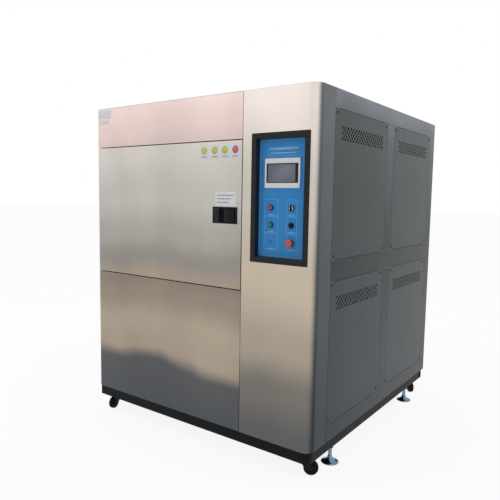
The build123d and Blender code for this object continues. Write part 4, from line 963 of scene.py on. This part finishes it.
def makeFork(corner, toPlace, toAxle):
    node = "castor_fork_" + corner
    crownZ, raceTop = castor["crownZ"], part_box(node)[1].z
    bm = bmesh.new()
    crown = [facing(roundedRect(*castor["crown"], radius), crownZ + rise, "top")
             for rise, radius in ((0, 0.007), (0.0024, 0.007), (0.0035, 0.0065))]
    loft(bm, [[toPlace @ Vector(point) for point in loop] for loop in crown])
    race = [(0.020, crownZ + 0.003), (0.0205, crownZ + 0.0045), (0.0196, raceTop - 0.0006), (0.017, raceTop)]
    lathe(bm, race, toPlace, 40)
    side = [(-0.022, crownZ + 0.001), (-0.0095, 0.060), (0.012, 0.030), (0.022, 0.0265)]
    side += arc(castor["trail"], castor["wheelRadius"], castor["forkEye"], -135, 45, 10)
    side += [(0.028, crownZ - 0.004), (0.026, crownZ + 0.001)]
    for depths in castor["forkPlates"]:
        loft(bm, [[toPlace @ Vector(point) for point in facing(side, depth)] for depth in depths])
    nut, axle, (seat, end) = castor["nutRadius"], castor["axleRadius"], castor["nutFaces"]
    lathe(bm, [(nut, -end), (nut, -seat), (axle, -seat), (axle, seat), (nut, seat), (nut, end)], toAxle, 6)
    piece = solidPiece("castorFork_" + corner, bm, castorSteel, node, [node])
    softenEdges(piece, 0.0005, 2, 40)


for corner, (x, y) in castor["spots"].items():
    turn = Matrix.Rotation(math.radians(castor["turns"][corner]), 4, "Z")
    toPlace = Matrix.Translation((x, y, 0)) @ turn
    wheelMiddle = Matrix.Translation((castor["trail"], 0, castor["wheelRadius"]))
    toAxle = toPlace @ wheelMiddle @ Matrix.Rotation(math.radians(90), 4, "X")
    makeWheel(corner, toAxle)
    makeFork(corner, toPlace, toAxle)

# Levelling feet
footShape = {
    "profile": [(0.0440, 0.0), (0.0458, 0.0012), (0.0460, 0.0035), (0.0452, 0.0050), (0.0360, 0.0078),
                (0.0262, 0.0120), (0.0190, 0.0180), (0.0146, 0.0250), (0.0122, 0.0310), (0.0115, 0.0345),
                (0.0100, 0.0350)],
    "threadPitch": 0.0025, "stem": 0.0100, "root": 0.0091, "plainStem": 0.004, "plainTop": 0.002,
}


def makeFoot(corner):
    node = "levelling_foot_" + corner
    middle, top = middleOf(node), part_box(node)[1].z
    stem, root, pitch = footShape["stem"], footShape["root"], footShape["threadPitch"]
    z = footShape["profile"][-1][1] + footShape["plainStem"]
    profile = footShape["profile"] + [(stem, z)]
    while z + pitch < top - footShape["plainTop"]:
        profile.append((root, z + pitch / 2))
        z += pitch
        profile.append((stem, z))
    profile.append((root, top))
    bm = bmesh.new()
    lathe(bm, profile, Matrix.Translation((middle.x, middle.y, 0)), 40)
    solidPiece("levellingFoot_" + corner, bm, footChrome, node, [node])


for corner in castor["spots"]:
    makeFoot(corner)
print("castors and feet made")


# Hinges on the left side
hingeShape = {
    "offset": 0.008, "fromFront": 0.060, "knuckle": 0.0075, "knuckleEdge": 0.0009, "leaf": 0.003,
    "leafEdge": 0.0004, "leafCorner": 0.004, "fixedKnuckle": 0.048, "pin": 0.0040, "pinTip": 0.0032,
    "web": 0.0065, "webHalf": 0.0015, "screwFromEnd": 0.012, "screwSize": 0.6, "apart": 0.2,
}


# one leaf with its knuckle from z0 up, the fixed one with the pin
def addHinge(bm, fixed, z0, z1, yLow, yHigh):
    shape = hingeShape
    x, y = leftX - shape["offset"], frontY + shape["fromFront"]
    toPin = Matrix.Translation((x, y, 0))
    top = z0 + shape["fixedKnuckle"] if fixed else z1
    y0, y1 = (y + 0.004, yHigh) if fixed else (yLow, y - 0.001)
    radius, edge, leafEdge = shape["knuckle"], shape["knuckleEdge"], shape["leafEdge"]
    knuckle = [(radius - edge, z0), (radius, z0 + edge), (radius, top - edge), (radius - edge, top)]
    lathe(bm, knuckle, toPin, 32)
    leaf, corner = (y0, y1, z0, top), shape["leafCorner"]
    loft(bm, [facing(insetRect(leaf, inset, corner - inset, 4), leftX - rise, "side")
              for inset, rise in ((0, 0), (0, shape["leaf"] - leafEdge), (leafEdge, shape["leaf"]))])
    webY, half = y + (shape["web"] if fixed else -shape["web"]), shape["webHalf"]
    web = [(x, webY - half), (leftX - 0.001, webY - half), (leftX - 0.001, webY + half), (x, webY + half)]
    loft(bm, [facing(web, z, "top") for z in (z0 + 0.001, top - 0.001)])
    if fixed:
        pin, tip = shape["pin"], shape["pinTip"]
        lathe(bm, [(pin, top - 0.001), (pin, z1 - 0.001), (tip, z1)], toPin, 24)
    for z in (z0 + shape["screwFromEnd"], top - shape["screwFromEnd"]):
        addScrew(bm, (leftX - shape["leaf"], (y0 + y1) / 2, z), "left", shape["screwSize"])


def makeHinges(name, node, body):
    low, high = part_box(node)
    zs = sorted({round(v.co.z, 4) for v in nodes[node].data.vertices})
    hinges = [[zs[0]]]
    for z in zs[1:]:
        if z - hinges[-1][-1] > hingeShape["apart"]:
            hinges.append([z])
        else:
            hinges[-1].append(z)
    bm = bmesh.new()
    for hinge in hinges:
        addHinge(bm, body == "cabinet", hinge[0], hinge[-1], low.y, high.y)
    solidPiece(name, bm, silverMetal, body, [node])


makeHinges("hingeFixed", "hinge_frame_leaves", "cabinet")
makeHinges("hingeSwinging", "hinge_door_leaves", "door")

# Door seal, round section with a foot: inset and share of the rise
sealShape = {
    "section": [(0, 0), (0, 0.3), (0.003, 0.7), (0.008, 0.95), (0.012, 1.0), (0.016, 0.95), (0.021, 0.7),
                (0.024, 0.3), (0.024, 0)],
    "corner": 0.030, "cornerTaper": 0.9,
}


def makeGasket():
    low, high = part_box("door_gasket")
    rect, rise = frontRect("door_gasket"), high.y - low.y
    loops = []
    for inset, share in sealShape["section"]:
        outline = insetRect(rect, inset, sealShape["corner"] - inset * sealShape["cornerTaper"], 6)
        loops.append(facing(outline, low.y + rise * share))
    bm = bmesh.new()
    loft(bm, loops, ring=True)
    solidPiece("doorSeal", bm, gasketRed, "door", ["door_gasket"])


# Wire shelf of round bar
shelfShape = {"bar": 0.004, "barSides": 12, "corner": 0.010, "wire": 0.0015, "wireSides": 8, "wires": 16}


def makeShelf():
    low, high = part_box("shelf")
    bar, wire, count = shelfShape["bar"], shelfShape["wire"], shelfShape["wires"]
    rim = roundedRect(low.x + bar, high.x - bar, low.y + bar, high.y - bar, shelfShape["corner"])
    ring = []
    for step in range(len(rim)):
        before, here, after = rim[step - 1], rim[step], rim[(step + 1) % len(rim)]
        along = Vector((after[0] - before[0], after[1] - before[1], 0)).normalized()
        across = Vector((along.y, -along.x, 0))
        centre = Vector((here[0], here[1], low.z + bar))
        angles = [math.tau * k / shelfShape["barSides"] for k in range(shelfShape["barSides"])]
        ring.append([centre + across * bar * math.cos(a) + Vector((0, 0, bar * math.sin(a))) for a in angles])
    bm = bmesh.new()
    loft(bm, ring, ring=True)
    span = high.x - low.x - 2 * bar
    for index in range(count):
        x = low.x + bar + (index + 0.5) * span / count
        section = circle(x, high.z - wire, wire, shelfShape["wireSides"])
        loft(bm, [facing(section, y) for y in (low.y + 0.001, high.y - 0.001)])
    solidPiece("shelfWires", bm, innerSteel, "shelf", ["shelf"])


makeGasket()
makeShelf()
print("door seal, hinges and shelf made")

# CAD nodes that keep their shape: the finish and the width of their soft edges
carried = {
    "base_frame": (satinBlack, 0.0012), "castor_and_foot_plates": (satinBlack, 0.0006),
    "cabinet_frame": (framePaint, 0.0008), "door_frame": (innerSteel, 0.0004),
    "right_side_strips": (shadedStripSteel, 0.0005), "left_side_panels": (plainSteel, 0.0005),
    "back_panels": (plainSteel, 0.0004), "insulation": (woolYellow, 0.003),
    "zone_liners": (innerSteel, 0.0004),
    "damper_actuators": (machineGrey, 0.002), "heater_rods": (innerSteel, 0.0005),
    "fan_motors": (machineGrey, 0.002), "evaporator_coil": (coilAluminium, 0.0005),
    "compressors": (compressorBlack, 0.004), "condenser_coil": (coilAluminium, 0.0005),
    "electrical_panel": (switchGrey, 0.001), "door_core": (woolYellow, 0.001),
    "door_liner": (innerSteel, 0.0004),
    "hot_fan": (coilAluminium, 0.0004), "cold_fan": (coilAluminium, 0.0004),
    "condenser_fan": (blackPlastic, 0.0004), "hot_damper": (innerSteel, 0.0004),
    "cold_damper": (innerSteel, 0.0004),
}
for name, (material, width) in carried.items():
    dressNode(name, material, width)
print("carried nodes dressed:", len(carried))

# Floor, backdrop and light
stageSettings = {
    "floorSize": 60.0, "floorDrop": 0.0002, "floorColour": (0.86, 0.86, 0.86, 1), "floorRough": 0.9,
    "floorGlow": 1.05, "floorShare": 0.85, "white": 1.0, "worldLight": 0.62,
    "key": {"place": (-3.2, -4.4, 4.6), "size": 3.4, "power": 22.0, "aim": (0.0, -0.6, 0.9)},
    "fill": {"place": (4.6, -2.2, 2.6), "size": 3.0, "power": 8.0, "aim": (0.4, 0.0, 0.9)},
    "top": {"place": (0.0, 0.2, 4.8), "size": 3.6, "power": 22.0, "aim": (0.0, 0.0, 1.0)},
}


# 1 where the camera sees the surface, straight or in a mirror or glass, and 0 for other light
def seenDirectly(tree):
    path = addNode(tree, "ShaderNodeLightPath")
    seen = math2(tree, "MAXIMUM", path.outputs["Is Camera Ray"], path.outputs["Is Glossy Ray"])
    return math2(tree, "MAXIMUM", seen, path.outputs["Is Transmission Ray"])


def makeFloor():
    bm = bmesh.new()
    bmesh.ops.create_grid(bm, x_segments=8, y_segments=8, size=stageSettings["floorSize"])
    mesh = bpy.data.meshes.new("studioFloor")
    bm.to_mesh(mesh)
    bm.free()
    floor = bpy.data.objects.new("studioFloor", mesh)
    bpy.context.scene.collection.objects.link(floor)
    floor.location.z = -stageSettings["floorDrop"]
    material, tree, shader = startMaterial("paleFloor")
    shader.inputs["Base Color"].default_value = stageSettings["floorColour"]
    shader.inputs["Roughness"].default_value = stageSettings["floorRough"]
    shader.inputs["Specular IOR Level"].default_value = 0.0
    glow = addNode(tree, "ShaderNodeEmission")
    glow.inputs["Strength"].default_value = stageSettings["floorGlow"]
    mix = addNode(tree, "ShaderNodeMixShader")
    share = math2(tree, "MULTIPLY", seenDirectly(tree), stageSettings["floorShare"])
    tree.links.new(share, mix.inputs["Fac"])
    tree.links.new(shader.outputs["BSDF"], mix.inputs[1])
    tree.links.new(glow.outputs["Emission"], mix.inputs[2])
    tree.links.new(mix.outputs["Shader"], tree.nodes["Material Output"].inputs["Surface"])
    mesh.materials.append(material)


def makeWorld():
    world = bpy.data.worlds.new("studioWorld")
    bpy.context.scene.world = world
    world.use_nodes = True
    tree = world.node_tree
    background = tree.nodes["Background"]
    background.inputs["Color"].default_value = (1, 1, 1, 1)
    strength = remap(tree, seenDirectly(tree), stageSettings["worldLight"], stageSettings["white"], 0, 1)
    tree.links.new(strength, background.inputs["Strength"])


def makeLamp(name, settings):
    lamp = bpy.data.objects.new(name, bpy.data.lights.new(name, "AREA"))
    lamp.data.size = settings["size"]
    lamp.data.energy = settings["power"]
    lamp.location = settings["place"]
    aim = Vector(settings["aim"]) - Vector(settings["place"])
    lamp.rotation_mode = "QUATERNION"
    lamp.rotation_quaternion = aim.to_track_quat("-Z", "Y")
    bpy.context.scene.collection.objects.link(lamp)


makeFloor()
makeWorld()
for name in ("key", "fill", "top"):
    makeLamp(name + "Lamp", stageSettings[name])
bpy.context.scene.view_settings.view_transform = "Standard"
print("stage made")
